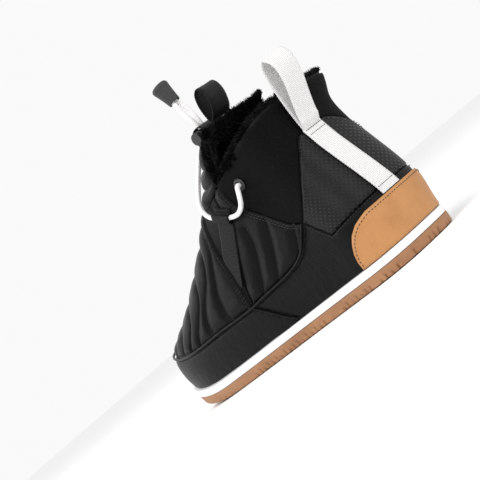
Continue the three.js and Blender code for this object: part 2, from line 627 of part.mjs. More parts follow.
const tail = toGeometry(toSolid(tailCord).add(toSolid(tailBall)));
add('tail_strand_left', tail, materials.cord);
add('tail_strand_right', mirrored(tail), materials.cord);
const bellProfile = [[0, 4.8], [cordSlotHalf, 4.8], [cordSlotHalf, 0], [cordSlotHalf + 0.6, 0],
  [bellRadius - 0.5, 12], [bellRadius, 14.2],
  [bellRadius - 0.6, 16.2], [bellRadius - 2.4, 17.2], [0, bellLength]];
const bell = new THREE.LatheGeometry(bellProfile.map((p) => new THREE.Vector2(p[0], p[1])), 24);
bell.rotateX(Math.PI / 2 - bellTilt);
bell.translate(0, bellY, bellZ);
add('cord_bell', bell, materials.plastic);

// The origin is under the middle of the boot, measured over the sole.
const soleBox = new THREE.Box3().setFromObject(group.getObjectByName('midsole'));
group.position.set(-(soleBox.min.x + soleBox.max.x) / 2, -(soleBox.min.y + soleBox.max.y) / 2, 0);

export default group;
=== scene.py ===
import math

import bmesh
import bpy
import numpy as np
from mathutils import Matrix, Vector, kdtree, noise
from mathutils.geometry import delaunay_2d_cdt


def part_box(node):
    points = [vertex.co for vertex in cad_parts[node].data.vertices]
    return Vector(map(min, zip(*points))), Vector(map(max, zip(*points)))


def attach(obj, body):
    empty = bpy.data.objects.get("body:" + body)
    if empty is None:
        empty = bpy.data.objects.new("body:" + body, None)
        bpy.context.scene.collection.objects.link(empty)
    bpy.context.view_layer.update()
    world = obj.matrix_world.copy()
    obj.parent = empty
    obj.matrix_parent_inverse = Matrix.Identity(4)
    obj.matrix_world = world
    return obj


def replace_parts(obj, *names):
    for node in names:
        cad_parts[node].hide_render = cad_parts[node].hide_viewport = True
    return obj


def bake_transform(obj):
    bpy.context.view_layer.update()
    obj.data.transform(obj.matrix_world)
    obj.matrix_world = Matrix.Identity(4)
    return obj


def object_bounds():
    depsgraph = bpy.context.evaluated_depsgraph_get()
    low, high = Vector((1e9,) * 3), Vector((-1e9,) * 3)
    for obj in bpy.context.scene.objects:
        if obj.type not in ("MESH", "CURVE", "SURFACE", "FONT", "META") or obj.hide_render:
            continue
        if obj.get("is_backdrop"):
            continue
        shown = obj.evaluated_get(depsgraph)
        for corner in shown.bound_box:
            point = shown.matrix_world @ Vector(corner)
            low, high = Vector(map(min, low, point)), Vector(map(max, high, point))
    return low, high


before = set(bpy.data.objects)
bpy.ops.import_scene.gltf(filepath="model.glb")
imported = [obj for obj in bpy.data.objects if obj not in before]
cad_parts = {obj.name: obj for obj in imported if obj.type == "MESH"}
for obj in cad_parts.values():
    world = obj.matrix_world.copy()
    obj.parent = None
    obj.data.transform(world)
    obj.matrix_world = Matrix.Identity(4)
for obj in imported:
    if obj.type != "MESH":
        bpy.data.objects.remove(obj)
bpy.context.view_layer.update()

MM = 0.001


# ------------------------------------------------------------------ boot surface
def smooth_table(rows):
    """Smooth curve through (height, value) rows that never overshoots them."""
    x, y = np.array(rows, float).T
    chord = np.diff(y) / np.diff(x)
    slope = np.concatenate([chord[:1], np.zeros(len(x) - 2), chord[-1:]])
    product = chord[:-1] * chord[1:]
    rising = product > 0
    slope[1:-1][rising] = (2 * product / (chord[:-1] + chord[1:] + 1e-12))[rising]

    def value(height):
        h = np.clip(height, x[0], x[-1])
        i = np.clip(np.searchsorted(x, h) - 1, 0, len(x) - 2)
        span = x[i + 1] - x[i]
        t = (h - x[i]) / span
        start = (2 * t**3 - 3 * t**2 + 1) * y[i] + (t**3 - 2 * t**2 + t) * span * slope[i]
        end = (3 * t**2 - 2 * t**3) * y[i + 1] + (t**3 - t**2) * span * slope[i + 1]
        return start + end

    return value


back_line = smooth_table([(0, -144), (30, -145), (45, -143.5), (62, -139), (80, -133), (100, -127),
                          (118, -124), (140, -125), (160, -125)])
front_line = smooth_table([(0, 142), (14, 144), (25, 147), (35, 146), (44, 140), (50, 131), (56, 119),
                           (62, 106), (72, 84), (85, 58), (98, 33), (110, 13), (122, -6), (132, -20),
                           (140, -30), (146, -38), (151, -48), (155, -58), (158, -67), (160, -73)])
inner_heel_bulge = smooth_table([(0, 0), (14, 0), (43, 6), (75, 11), (100, 14), (118, 17), (130, 23),
                                 (138, 26), (160, 26)])
heel_half_width = smooth_table([(0, 40), (14, 40), (45, 39.5), (70, 37.5), (95, 36), (115, 35.5),
                                (140, 37), (160, 33)])
ball_half_width = smooth_table([(0, 50), (14, 50.5), (30, 51), (45, 49.5), (60, 46.5), (75, 43.5),
                                (90, 40), (105, 37.5), (120, 36), (135, 35), (150, 33), (160, 32.5)])
widest_point = smooth_table([(0, 65), (14, 65), (45, 55), (60, 35), (80, 0), (100, -35), (120, -58),
                             (140, -70), (160, -78)])
HEEL_ROUND = 40
HEEL_SHARE, SIDE_SHARE = 0.28, 0.27
HEEL_POWER, TOE_POWER = 2 / 2.9, 2 / 2.15
TOE_SPRING, FOREFOOT_CURVE = 12, 7
SOLE_TOP = 13.7
UPPER_BOTTOM = 14.0
COLLAR_TOP = 159.2

lock_low, lock_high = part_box("cord_lock_body")
strap_low, strap_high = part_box("heel_strap")
LOCK_Y = -42
SHIFT_X = (strap_low.x + strap_high.x) / 2 / MM
SHIFT_Y = (lock_low.y + lock_high.y) / 2 / MM - LOCK_Y


def half_section(turn, height):
    """Half width and y of the boot at a height; turn runs from 0 at the heel to 1 at the toe."""
    back, widest = back_line(height), widest_point(height)
    heel, ball = heel_half_width(height), ball_half_width(height)
    heel_angle = np.clip(turn / HEEL_SHARE, 0, 1) * math.pi / 2
    side = np.clip((turn - HEEL_SHARE) / SIDE_SHARE, 0, 1)
    toe_start = HEEL_SHARE + SIDE_SHARE
    toe_angle = np.clip((turn - HEEL_SHARE - SIDE_SHARE) / (1 - HEEL_SHARE - SIDE_SHARE), 0, 1)
    toe_angle = toe_angle * math.pi / 2
    ease = side * side * (3 - 2 * side)
    behind, ahead = turn < HEEL_SHARE, turn >= toe_start
    x = np.where(behind, heel * np.sin(heel_angle) ** HEEL_POWER, heel * (1 - ease) + ball * ease)
    x = np.where(ahead, ball * np.abs(np.cos(toe_angle)) ** TOE_POWER, x)
    y = np.where(behind, back + HEEL_ROUND * (1 - np.abs(np.cos(heel_angle)) ** HEEL_POWER),
                 back + HEEL_ROUND + (widest - back - HEEL_ROUND) * side)
    y = np.where(ahead, widest + (front_line(height) - widest) * np.sin(toe_angle) ** TOE_POWER, y)
    return x, y


# way: millimetres round the boot just above the sole, from the middle of the heel, left side first.
fine = np.linspace(0, 1, 400) ** 2
turn_rows = np.unique(np.concatenate([np.linspace(0, 1, 3000), 0.02 * fine, 1 - 0.02 * fine]))
row_x, row_y = half_section(turn_rows, 45.0)
way_rows = np.concatenate([[0], np.cumsum(np.hypot(np.diff(row_x), np.diff(row_y)))])
TOE_WAY = way_rows[-1]


def ease_between(low, high, value):
    t = np.clip((value - low) / (high - low), 0, 1)
    return t * t * (3 - 2 * t)


def bends(y):
    """Forefoot curve and toe spring at a y before the shift."""
    return (FOREFOOT_CURVE * np.maximum(0, (y + 30) / 180) ** 2,
            TOE_SPRING * np.maximum(0, (y - 60) / 90) ** 2)


def foot_shape(points):
    """Fuller inner heel, toe spring, forefoot curve and the shift to the part's frame."""
    points = np.array(points, float)
    x, y, z = points[..., 0], points[..., 1], points[..., 2]
    curve, lift = bends(y)
    bulge = inner_heel_bulge(z) * ease_between(6, 32, x) * ease_between(-53, -108, y)
    return np.stack([x + curve + bulge + SHIFT_X, y + SHIFT_Y, z + lift], -1)


def other_side(points):
    """Where left-side points lie on the right side of the boot."""
    points = np.array(points, float) - (SHIFT_X, SHIFT_Y, 0)
    curve, lift = bends(points[..., 1])
    return foot_shape(np.stack([curve - points[..., 0], points[..., 1], points[..., 2] - lift], -1))


def boot_point(way, height):
    way, height = np.broadcast_arrays(np.asarray(way, float), np.asarray(height, float))
    folded = (way + TOE_WAY) % (2 * TOE_WAY) - TOE_WAY
    x, y = half_section(np.interp(np.abs(folded), way_rows, turn_rows), height)
    return foot_shape(np.stack([np.where(folded > 0, -x, x), y, height], -1))


def unit(v):
    return v / np.maximum(np.linalg.norm(v, axis=-1, keepdims=True), 1e-9)


def boot_normal(way, height, step=0.5):
    around = boot_point(way + step, height) - boot_point(way - step, height)
    up = boot_point(way, height + step) - boot_point(way, height - step)
    return unit(np.cross(up, around))


def on_boot(way, height, distance):
    return boot_point(way, height) + boot_normal(way, height) * np.asarray(distance, float)[..., None]


# Real distances along the boot, for the scale of weaves: round it at each height, and up it.
grid_ways = np.linspace(0, TOE_WAY, 240)
grid_heights = np.linspace(4, 160, 157)
grid_points = boot_point(grid_ways[:, None], grid_heights[None, :])
round_steps = np.linalg.norm(np.diff(grid_points, axis=0), axis=-1)
up_steps = np.linalg.norm(np.diff(grid_points, axis=1), axis=-1)
round_grid = np.concatenate([np.zeros((1, len(grid_heights))), np.cumsum(round_steps, 0)])
up_grid = np.concatenate([np.zeros((len(grid_ways), 1)), np.cumsum(up_steps, 1)], 1)


def cloth_uv(way, height):
    """Millimetres round the boot and up it, for points given by way and height."""
    folded = (way + TOE_WAY) % (2 * TOE_WAY) - TOE_WAY
    i = np.clip(np.abs(folded) / grid_ways[1], 0, len(grid_ways) - 1.001)
    j = np.clip(height - grid_heights[0], 0, len(grid_heights) - 1.001)
    i0, j0 = i.astype(int), j.astype(int)
    fi, fj = i - i0, j - j0

    def look(grid):
        low = grid[i0, j0] * (1 - fj) + grid[i0, j0 + 1] * fj
        high = grid[i0 + 1, j0] * (1 - fj) + grid[i0 + 1, j0 + 1] * fj
        return low * (1 - fi) + high * fi

    return np.stack([look(round_grid) * np.where(folded < 0, -1, 1), look(up_grid)], -1)


# ------------------------------------------------------------------ lines on the boot
WAYS_FINE = np.linspace(0, TOE_WAY, 1200)


def way_at(y, height):
    """Where the left side passes a side-view point; beyond the heel or toe it stops at the middle."""
    ys = boot_point(WAYS_FINE, height)[:, 1] - SHIFT_Y
    return float(np.interp(y, ys, WAYS_FINE))


def travelled(line):
    """Distance along a line of points, at each of them."""
    return np.concatenate([[0], np.cumsum(np.linalg.norm(np.diff(line, axis=0), axis=1))])


def resample(line, step):
    """The same line with its points a step or less apart."""
    line = np.array(line, float)
    rows = [line[:1]]
    for a, b in zip(line[:-1], line[1:]):
        count = max(1, math.ceil(np.linalg.norm(b - a) / step))
        rows.append(a + (b - a) * (np.arange(1, count + 1) / count)[:, None])
    return np.concatenate(rows)


def smooth_line(points, steps=10):
    """Catmull-Rom curve through points."""
    p = np.array(points, float)
    p = np.concatenate([2 * p[:1] - p[1:2], p, 2 * p[-1:] - p[-2:-1]])
    t = (np.arange(steps) / steps)[:, None]
    rows = []
    for a, b, c, d in zip(p[:-3], p[1:-2], p[2:-1], p[3:]):
        rows.append(0.5 * (2 * b + (c - a) * t + (2 * a - 5 * b + 4 * c - d) * t**2
                           + (3 * b - a - 3 * c + d) * t**3))
    return np.concatenate(rows + [p[-2:-1]])


def side_line(points, step=1.5):
    """A side-view line, as (way, height) on the left side. It stops at the heel or toe middle."""
    rows = []
    for y, z in resample(points, step):
        rows.append((way_at(y, z), z))
    rows = np.array(rows)
    first, last = 0, len(rows)
    ends = (rows[:, 0] < 0.01) | (rows[:, 0] > TOE_WAY - 0.01)
    while first + 1 < last and ends[first] and ends[first + 1]:
        first += 1
    while last - 2 >= first and ends[last - 1] and ends[last - 2]:
        last -= 1
    return rows[first:last]


def across_heel(line):
    """A left-side line that starts and ends at the heel middle, made whole with its mirror image."""
    return np.concatenate([line, (line * (-1, 1))[::-1][1:-1]])


def across_toe(line):
    return np.concatenate([line, ((2 * TOE_WAY, 0) + line * (-1, 1))[::-1][1:-1]])


def mirror_line(line):
    return np.array(line) * (-1, 1)


def offset_line(line, distance):
    """The line moved sideways on the surface, to its left for a positive distance in millimetres."""
    line = np.array(line, float)
    ahead = np.gradient(line, axis=0)
    w, h = line.T
    size_w = np.linalg.norm(boot_point(w + 0.5, h) - boot_point(w - 0.5, h), axis=-1)
    size_h = np.linalg.norm(boot_point(w, h + 0.5) - boot_point(w, h - 0.5), axis=-1)
    size = np.stack([size_w, size_h], -1)
    along = unit(ahead * size)
    return line + np.stack([-along[:, 1], along[:, 0]], -1) * distance / np.maximum(size, 0.2)


def line_points(line, distance=0.0):
    line = np.array(line, float)
    return on_boot(line[:, 0], line[:, 1], distance)


# Side-view outlines, the same as the CAD panels'.
FAR = 175
GORE_REAR_TOP, GORE_FRONT_TOP, GORE_CORNER = (-124, 136.5), (-51.5, 122), (-97, 63.5)
GUARD_CORNER, GUARD_REAR = (-112, 45), (-143, 49)
HEEL_SEAM = [(-124, 110), (-122.8, 101), (-118.7, 90), (-111.6, 78.5), (-103.5, 69.5)]
SEAM_JUNCTION = (-10, 41)
GORE_LOWER = [(-56, 105), (-66, 91.5), (-78, 77.5), (-86, 69)]
PIPING = [(-88, 55.5), (-80.5, 49.5), (-70, 45.5), (-58, 43.5), (-42, 42.5), (-26, 42)]
WAIST_SEAM = [(-21, 31), (-31, 21), (-38.7, UPPER_BOTTOM)]
QUARTER_FRONT = [(-40, 104), (-25, 76), (-14, 53)]
VAMP_REAR = [(-11.5, 56), (-13.5, 80), (-12.5, 100), (-11.5, 113)]
COLLAR_REAR = (-41, 118)
COLLAR_FRONT = [(-5, 122), (2, 128)]
COLLAR_EDGE = [(-51, 131), (-54.5, 143), (-62, 151.5), (-66.5, COLLAR_TOP)]
COUNTER_EDGE = [(-FAR, 43.3), (-138, 43.3), (-131, 40.5), (-125.5, 36.5), (-121, 31), (-118, 26),
                (-116.2, 20.5), (-116, 15), (-116.1, UPPER_BOTTOM)]


# ------------------------------------------------------------------ meshes
def new_mesh(name, points, faces, uv, material, nodes=(), body="boot", outward=False, weld=None):
    """Piece from points in millimetres, part frame. It rides on a CAD body, unless that is None."""
    mesh = bpy.data.meshes.new(name)
    mesh.from_pydata((np.array(points) * MM).tolist(), [], [list(map(int, f)) for f in faces])
    mesh.validate()
    corner = np.zeros(len(mesh.loops), int)
    mesh.loops.foreach_get("vertex_index", corner)
    layer = mesh.uv_layers.new(name="cloth")
    layer.data.foreach_set("uv", np.asarray(uv, float)[corner].ravel())
    mesh.shade_smooth()
    piece = bpy.data.objects.new(name, mesh)
    bpy.context.scene.collection.objects.link(piece)
    if body:
        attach(piece, body)
    if outward or weld:
        face_outward(piece, weld)
    mesh.materials.append(material)
    if nodes:
        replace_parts(piece, *nodes)
    return piece


def face_outward(piece, weld=None):
    """Turns every face of a closed piece outward, after it joins points closer than weld metres."""
    work = bmesh.new()
    work.from_mesh(piece.data)
    if weld:
        bmesh.ops.remove_doubles(work, verts=work.verts, dist=weld)
        bmesh.ops.dissolve_degenerate(work, edges=work.edges, dist=weld)
    bmesh.ops.recalc_face_normals(work, faces=work.faces)
    work.to_mesh(piece.data)
    work.free()


def grid_faces(rows, columns, around=True, closed=False, caps=False):
    """Faces over rows of points. around joins a row's ends, closed joins the last row to the first."""
    faces = []
    for i in range(rows if closed else rows - 1):
        here, above = i * columns, (i + 1) % rows * columns
        for k in range(columns if around else columns - 1):
            ahead = (k + 1) % columns
            faces.append((here + k, here + ahead, above + ahead, above + k))
    if caps:
        faces.append(tuple(range(columns))[::-1])
        faces.append(tuple(range((rows - 1) * columns, rows * columns)))
    return faces


def nearest(points, line):
    """For each point, the distance to the nearest point of the line, and that point's number."""
    tree = kdtree.KDTree(len(line))
    for i, p in enumerate(line):
        tree.insert(p, i)
    tree.balance()
    found = [tree.find(p) for p in points]
    return np.array([f[2] for f in found]), np.array([f[1] for f in found])


def inside(points, loop):
    """Which flat points lie inside a closed flat loop."""
    x, y = points[:, :1], points[:, 1:]
    ax, ay = loop[:, 0], loop[:, 1]
    bx, by = np.roll(ax, -1), np.roll(ay, -1)
    hit = ((ay > y) != (by > y)) & (x < (bx - ax) * (y - ay) / (by - ay + 1e-12) + ax)
    return hit.sum(1) % 2 == 1


def noise_at(points, size, seed=0.0):
    """Smooth noise from -1 to 1 with features of about size millimetres."""
    return np.array([noise.noise(Vector(p) / size + Vector((seed, seed * 0.7, -seed))) for p in points])


def triangulate(loop, lines, spacing, row_share):
    """Triangles that fill a (way, height) loop and follow the given lines in it."""
    low, high = loop.min(0), loop.max(0)
    row = spacing * row_share
    ways = np.arange(low[0], high[0], spacing)
    heights = np.arange(low[1], high[1], row)
    w, h = np.meshgrid(ways, heights)
    w[1::2] += spacing / 2
    grid = np.stack([w.ravel(), h.ravel()], -1)
    grid = grid[inside(grid, loop)]
    scaled = np.array([1, 1 / row_share])
    fixed = [loop] + [resample(line, spacing * 0.7) for line in lines]
    near, _ = nearest(np.c_[grid * scaled, np.zeros(len(grid))],
                      np.c_[np.concatenate(fixed) * scaled, np.zeros(sum(map(len, fixed)))])
    grid = grid[near > spacing * 0.55]
    extra = [line[inside(line, loop)] for line in fixed[1:]]
    flat = np.concatenate([loop, *extra, grid])
    count = len(loop)
    edges = [(i, (i + 1) % count) for i in range(count)]
    made = delaunay_2d_cdt([Vector(p) for p in flat * scaled], edges, [], 1, 1e-4)
    return np.array([tuple(v) for v in made[0]]) / scaled, [tuple(f) for f in made[2]]


def rim_edges(faces):
    """Edges that belong to one face only, in that face's direction."""
    seen = {}
    for f in faces:
        for a, b in zip(f, f[1:] + f[:1]):
            seen[(a, b)] = True
    return [(a, b) for a, b in seen if (b, a) not in seen]


def sewn_panel(name, loop, material, seams=(), spacing=1.7, row_share=0.85, thickness=2.2, puff=0.0,
               channel=9.0, edge_drop=1.0, edge_round=1.6, base=0.0, pucker=0.35, wrinkle=0.25,
               seam_drop=0.7, stands_for=None, seed=1.0):
    """Closed piece of padded cloth on the boot. It dips at its edges and seams, and swells between."""
    rows = [resample(line, 1.0) for line in seams]
    flat, faces = triangulate(loop, rows + [offset_line(r, d) for r in rows for d in (-1.1, 1.1)],
                              spacing, row_share)
    way, height = flat.T
    surface, normal = boot_point(way, height), boot_normal(way, height)
    a, b, c = (surface[[f[i] for f in faces]] for i in range(3))
    if (np.cross(b - a, c - a) * normal[[f[0] for f in faces]]).sum() < 0:
        faces = [f[::-1] for f in faces]
    edge, edge_at = nearest(surface, line_points(resample(np.concatenate([loop, loop[:1]]), 0.5)))
    lines = [line_points(resample(line, 0.5)) for line in seams]
    if lines:
        seam, seam_at = nearest(surface, np.concatenate(lines))
    else:
        seam, seam_at = np.full(len(edge), 1e3), edge_at
    closest, at = np.minimum(edge, seam), np.where(edge < seam, edge_at, seam_at)
    share = np.clip(closest / channel, 0, 1)
    swell = puff * (1 - (1 - share) ** 2) ** 0.8
    ripple = np.array([noise.noise(Vector((t * 0.5 / 4.6, seed, 0.3))) for t in at])
    ripple = pucker * ripple * np.exp(-closest / 4.5) * np.clip(closest / 0.8, 0, 1)
    broad = wrinkle * noise_at(surface, 26, seed) + 0.35 * wrinkle * noise_at(surface, 9, seed + 3)
    drop = edge_drop * (1 - np.clip(edge / edge_round, 0, 1)) ** 2
    groove = seam_drop * np.exp(-((seam / 0.8) ** 2))
    inner_edge = np.clip(closest / 2.5, 0, 1)
    lift = base + swell + (ripple + broad) * inner_edge - drop - groove
    outer = surface + normal * lift[:, None]
    inner = surface + normal * (base - thickness)
    count = len(flat)
    shell = list(faces) + [tuple(i + count for i in f[::-1]) for f in faces]
    shell += [(b, a, a + count, b + count) for a, b in rim_edges(faces)]
    uv = np.concatenate([cloth_uv(way, height)] * 2)
    return new_mesh(name, np.concatenate([outer, inner]), shell, uv, material, [stands_for])


def both_sides(name, loop, material, **options):
    """The same panel on the left and on the right."""
    left = sewn_panel(f"{name}_cloth_left", loop, material, stands_for=f"{name}_left", **options)
    options["seams"] = [mirror_line(line) for line in options.get("seams", ())]
    right = sewn_panel(f"{name}_cloth_right", mirror_line(loop)[::-1], material,
                       stands_for=f"{name}_right", **options)
    return left, right


def tube_mesh(path, radius, sides, round_ends=True):
    """Points and faces of a tube along a path, with the distance along it at each point."""
    path = np.array(path, float)
    along = unit(np.gradient(path, axis=0))
    across = np.cross(along[0], (0.3, 0.2, 0.9))
    rings, travel = [], []
    radii = np.broadcast_to(np.asarray(radius, float), len(path)).copy()
    distance = travelled(path)
    centres, sizes, marks = list(path), list(radii), list(distance)
    if round_ends:
        for share, size in ((0.55, 0.85), (0.92, 0.45)):
            centres = [path[0] - along[0] * radii[0] * share] + centres
            centres = centres + [path[-1] + along[-1] * radii[-1] * share]
            sizes = [radii[0] * size] + sizes + [radii[-1] * size]
            marks = [-radii[0] * share] + marks + [distance[-1] + radii[-1] * share]
        along = np.concatenate([along[:1]] * 2 + [along] + [along[-1:]] * 2)
    for centre, size, direction, mark in zip(centres, sizes, along, marks):
        across = unit(across - direction * (across @ direction))
        other = np.cross(direction, across)
        for k in range(sides):
            angle = 2 * math.pi * k / sides
            rings.append(centre + (across * math.cos(angle) + other * math.sin(angle)) * size)
            travel.append((k / sides, mark))
    count = len(centres)
    return np.array(rings), grid_faces(count, sides, caps=True), np.array(travel)


def join(parts):
    """Points, faces and uv of several shapes as one."""
    points, faces, uv, start = [], [], [], 0
    for p, f, t in parts:
        points.append(p)
        uv.append(t)
        faces += [tuple(i + start for i in face) for face in f]
        start += len(p)
    return np.concatenate(points), faces, np.concatenate(uv)


def stitching(name, lines, material, pitch=2.6, length=1.7, radius=0.22):
    """A row of separate thread stitches along each line of points in millimetres."""
    parts = []
    for line in lines:
        line = np.array(line, float)
        travel = travelled(line)
        for start in np.arange(pitch * 0.3, travel[-1] - length, pitch):
            marks = start + length * np.array([0.0, 0.3, 0.7, 1.0])
            points = np.stack([np.interp(marks, travel, line[:, k]) for k in range(3)], -1)
            parts.append(tube_mesh(points, [radius * 0.5, radius, radius, radius * 0.5], 6, False))
    new_mesh(name, *join(parts), material)


def band(path, across, width, thickness, columns=14, wave=0.0):
    """Webbing along a path: a flat closed strip with rounded edges. across is its width direction."""
    path, across = np.array(path, float), unit(np.array(across, float))
    along = unit(np.gradient(path, axis=0))
    across = unit(across - along * (across * along).sum(1)[:, None])
    up = np.cross(along, across)
    travel = travelled(path)
    shares = np.linspace(-1, 1, columns)
    halves = 0.5 * np.minimum(1, (1 - abs(shares)) / 0.06 * 0.5 + 0.55)
    profile = [*zip(shares, halves), *zip(shares[::-1], -halves[::-1])]
    width = np.broadcast_to(np.asarray(width, float), len(path))
    points, uv = [], []
    for i, p in enumerate(path):
        tooth = wave * math.sin(travel[i] * math.pi)
        for s, t in profile:
            reach = s * (width[i] / 2 + (tooth if abs(s) > 0.98 else 0))
            points.append(p + across[i] * reach + up[i] * thickness * t)
            uv.append((s * width[i] / 2 + (0 if t > 0 else 60), travel[i]))
    return np.array(points), grid_faces(len(path), len(profile), caps=True), np.array(uv)


# ------------------------------------------------------------------ materials
class Surface:
    """A material with a Principled shader, and short ways to add nodes to it."""

    def __init__(self, name, colour, roughness, **sockets):
        self.material = bpy.data.materials.new(name)
        self.material.use_nodes = True
        self.material.diffuse_color = (*colour, 1)
        self.tree = self.material.node_tree
        self.shader = next(n for n in self.tree.nodes if n.type == "BSDF_PRINCIPLED")
        self.shader.inputs["Base Color"].default_value = (*colour, 1)
        self.shader.inputs["Roughness"].default_value = roughness
        for key, value in sockets.items():
            self.shader.inputs[key.replace("_", " ")].default_value = value

    def node(self, kind, props=None, **inputs):
        made = self.tree.nodes.new(kind)
        for key, value in (props or {}).items():
            setattr(made, key, value)
        for key, value in inputs.items():
            index = int(key[1:]) if key[1:].isdigit() else key.replace("_", " ")
            if isinstance(value, bpy.types.NodeSocket):
                self.tree.links.new(value, made.inputs[index])
            else:
                made.inputs[index].default_value = value
        return made

    def math(self, operation, a, b=0.0):
        return self.node("ShaderNodeMath", {"operation": operation}, i0=a, i1=b).outputs[0]

    def cloth(self):
        uv = self.node("ShaderNodeUVMap", {"uv_map": "cloth"}).outputs[0]
        split = self.node("ShaderNodeSeparateXYZ", i0=uv)
        return uv, split.outputs[0], split.outputs[1]

    def place(self):
        return self.node("ShaderNodeTexCoord").outputs["Object"]

    def noise(self, vector, scale, detail=3.0, rough=0.55):
        return self.node("ShaderNodeTexNoise", Vector=vector, Scale=scale, Detail=detail,
                         Roughness=rough).outputs["Fac"]

    def cells(self, vector, scale, feature="F1"):
        return self.node("ShaderNodeTexVoronoi", {"feature": feature}, Vector=vector,
                         Scale=scale).outputs["Distance"]

    def ramp(self, value, low, high, start=0.0, end=1.0):
        return self.node("ShaderNodeMapRange", Value=value, i1=low, i2=high, i3=start,
                         i4=end).outputs[0]

    def waves(self, value, period):
        """0 to 1 ridges with a period in millimetres."""
        turned = self.math("MULTIPLY", value, 2 * math.pi / period)
        return self.ramp(self.math("SINE", turned), -1, 1)

    def colour(self, factor, dark, light):
        mix = self.node("ShaderNodeMix", {"data_type": "RGBA"}, i0=factor)
        mix.inputs[6].default_value = (*dark, 1)
        mix.inputs[7].default_value = (*light, 1)
        self.tree.links.new(mix.outputs[2], self.shader.inputs["Base Color"])
        return mix.outputs[2]

    def roughness(self, value):
        self.tree.links.new(value, self.shader.inputs["Roughness"])

    def bump(self, *layers):
        """Layers of (height from 0 to 1, depth in millimetres)."""
        normal = None
        for height, depth in layers:
            made = self.node("ShaderNodeBump", Height=height, Distance=depth * MM, Strength=1.0)
            if normal is not None:
                self.tree.links.new(normal, made.inputs["Normal"])
            normal = made.outputs[0]
        self.tree.links.new(normal, self.shader.inputs["Normal"])


def woven_nylon(name, colour, light, roughness, twill=0.05, sheen=0.01):
    """Smooth coated cloth with a fine diagonal twill, soft creases and faint shade changes."""
    s = Surface(name, colour, roughness, Sheen_Weight=sheen, Sheen_Roughness=0.45,
                Specular_IOR_Level=0.1)
    _, u, v = s.cloth()
    place = s.place()
    lines = s.waves(s.math("ADD", u, s.math("MULTIPLY", v, 0.8)), 0.9)
    crossing = s.waves(s.math("SUBTRACT", u, s.math("MULTIPLY", v, 1.3)), 1.3)
    broad = s.noise(place, 38.0)
    creases = s.noise(place, 210.0, 4.0, 0.6)
    s.colour(s.ramp(broad, 0.35, 0.7), colour, light)
    s.roughness(s.ramp(broad, 0.3, 0.75, roughness - 0.05, roughness + 0.08))
    s.bump((creases, 0.35), (lines, twill), (crossing, twill * 0.6))
    return s.material


nylon = woven_nylon("quilted_nylon", (0.0012, 0.0012, 0.0012), (0.0022, 0.0021, 0.0021), 0.32)
guard_cloth = woven_nylon("guard_cloth", (0.0016, 0.0015, 0.0015), (0.0026, 0.0025, 0.0024), 0.35, 0.05)
gusset_cloth = woven_nylon("gusset_cloth", (0.0016, 0.0016, 0.0016), (0.0026, 0.0026, 0.0026), 0.55)


def embossed_sheet():
    """Coated sheet with a staggered pattern of small raised dots, their tops painted lighter as a
    highlight.
    """
    s = Surface("embossed_sheet", (0.003, 0.0029, 0.0029), 0.34, Specular_IOR_Level=0.22)
    _, u, v = s.cloth()
    place = s.place()
    around = s.math("COSINE", s.math("MULTIPLY", u, 2 * math.pi / 4.2))
    upward = s.math("COSINE", s.math("MULTIPLY", v, 2 * math.pi / 4.0))
    dots = s.ramp(s.math("MULTIPLY", around, upward), 0.05, 0.95)
    broad = s.noise(place, 30.0)
    # The raised dots are coloured lighter than the sheet: a painted highlight on their tops.
    s.colour(dots, (0.0018, 0.0017, 0.0017), (0.0065, 0.0063, 0.0061))
    s.roughness(s.ramp(dots, 0, 1, 0.48, 0.3))
    s.bump((broad, 0.3), (s.noise(place, 900.0), 0.03), (dots, 0.5))
    return s.material


def knit_elastic():
    """Fine diagonal elastic knit with pale flecks where the rubber shows."""
    s = Surface("knit_elastic", (0.002, 0.0019, 0.0019), 0.72, Sheen_Weight=0.01,
                Specular_IOR_Level=0.06)
    uv, u, v = s.cloth()
    ribs = s.waves(s.math("ADD", s.math("MULTIPLY", u, 0.75), s.math("MULTIPLY", v, 1.1)), 1.0)
    rows = s.waves(s.math("SUBTRACT", s.math("MULTIPLY", u, 1.2), v), 1.15)
    flecks = s.noise(uv, 1.9, 2.0, 0.8)
    knit = s.math("MULTIPLY", ribs, rows)
    spots = s.math("MULTIPLY", s.ramp(flecks, 0.52, 0.72), s.ramp(knit, 0.25, 0.8))
    s.colour(spots, (0.0016, 0.0015, 0.0015), (0.045, 0.043, 0.042))
    s.bump((s.noise(uv, 0.12), 0.4), (knit, 0.16), (flecks, 0.12))
    return s.material


def webbing(name, dark, light, roughness, rib=1.15, depth=0.17, sheen=0.2, gloss=0.4):
    """Ribbed webbing: cross ribs and fine warp threads, with painted shade in the troughs between ribs and
    a little soiling.
    """
    s = Surface(name, light, roughness, Sheen_Weight=sheen, Specular_IOR_Level=gloss)
    uv, u, v = s.cloth()
    wobble = s.math("MULTIPLY", s.math("SUBTRACT", s.noise(uv, 0.5), 0.5), 0.5)
    ribs = s.waves(s.math("ADD", v, wobble), rib)
    warp = s.waves(u, 0.62)
    weave = s.math("ADD", s.math("MULTIPLY", ribs, 0.75), s.math("MULTIPLY", warp, 0.25))
    # Colour darkens where the weave dips: painted shade in the rib troughs, multiplied by random soiling
    # from the noise.
    trough_shade_and_soiling = s.math("MULTIPLY", s.ramp(weave, 0.1, 0.6), s.ramp(s.noise(uv, 0.22), 0.2, 0.55, 0.8, 1.0))
    s.colour(trough_shade_and_soiling, dark, light)
    s.bump((weave, depth), (s.noise(uv, 6.0), 0.04))
    return s.material


embossed = embossed_sheet()
elastic = knit_elastic()
white_webbing = webbing("white_webbing", (0.5, 0.495, 0.49), (0.7, 0.695, 0.69), 0.62)
black_webbing = webbing("black_webbing", (0.001, 0.001, 0.001), (0.006, 0.0058, 0.0058), 0.45,
                        1.3, 0.3, 0.01, 0.15)


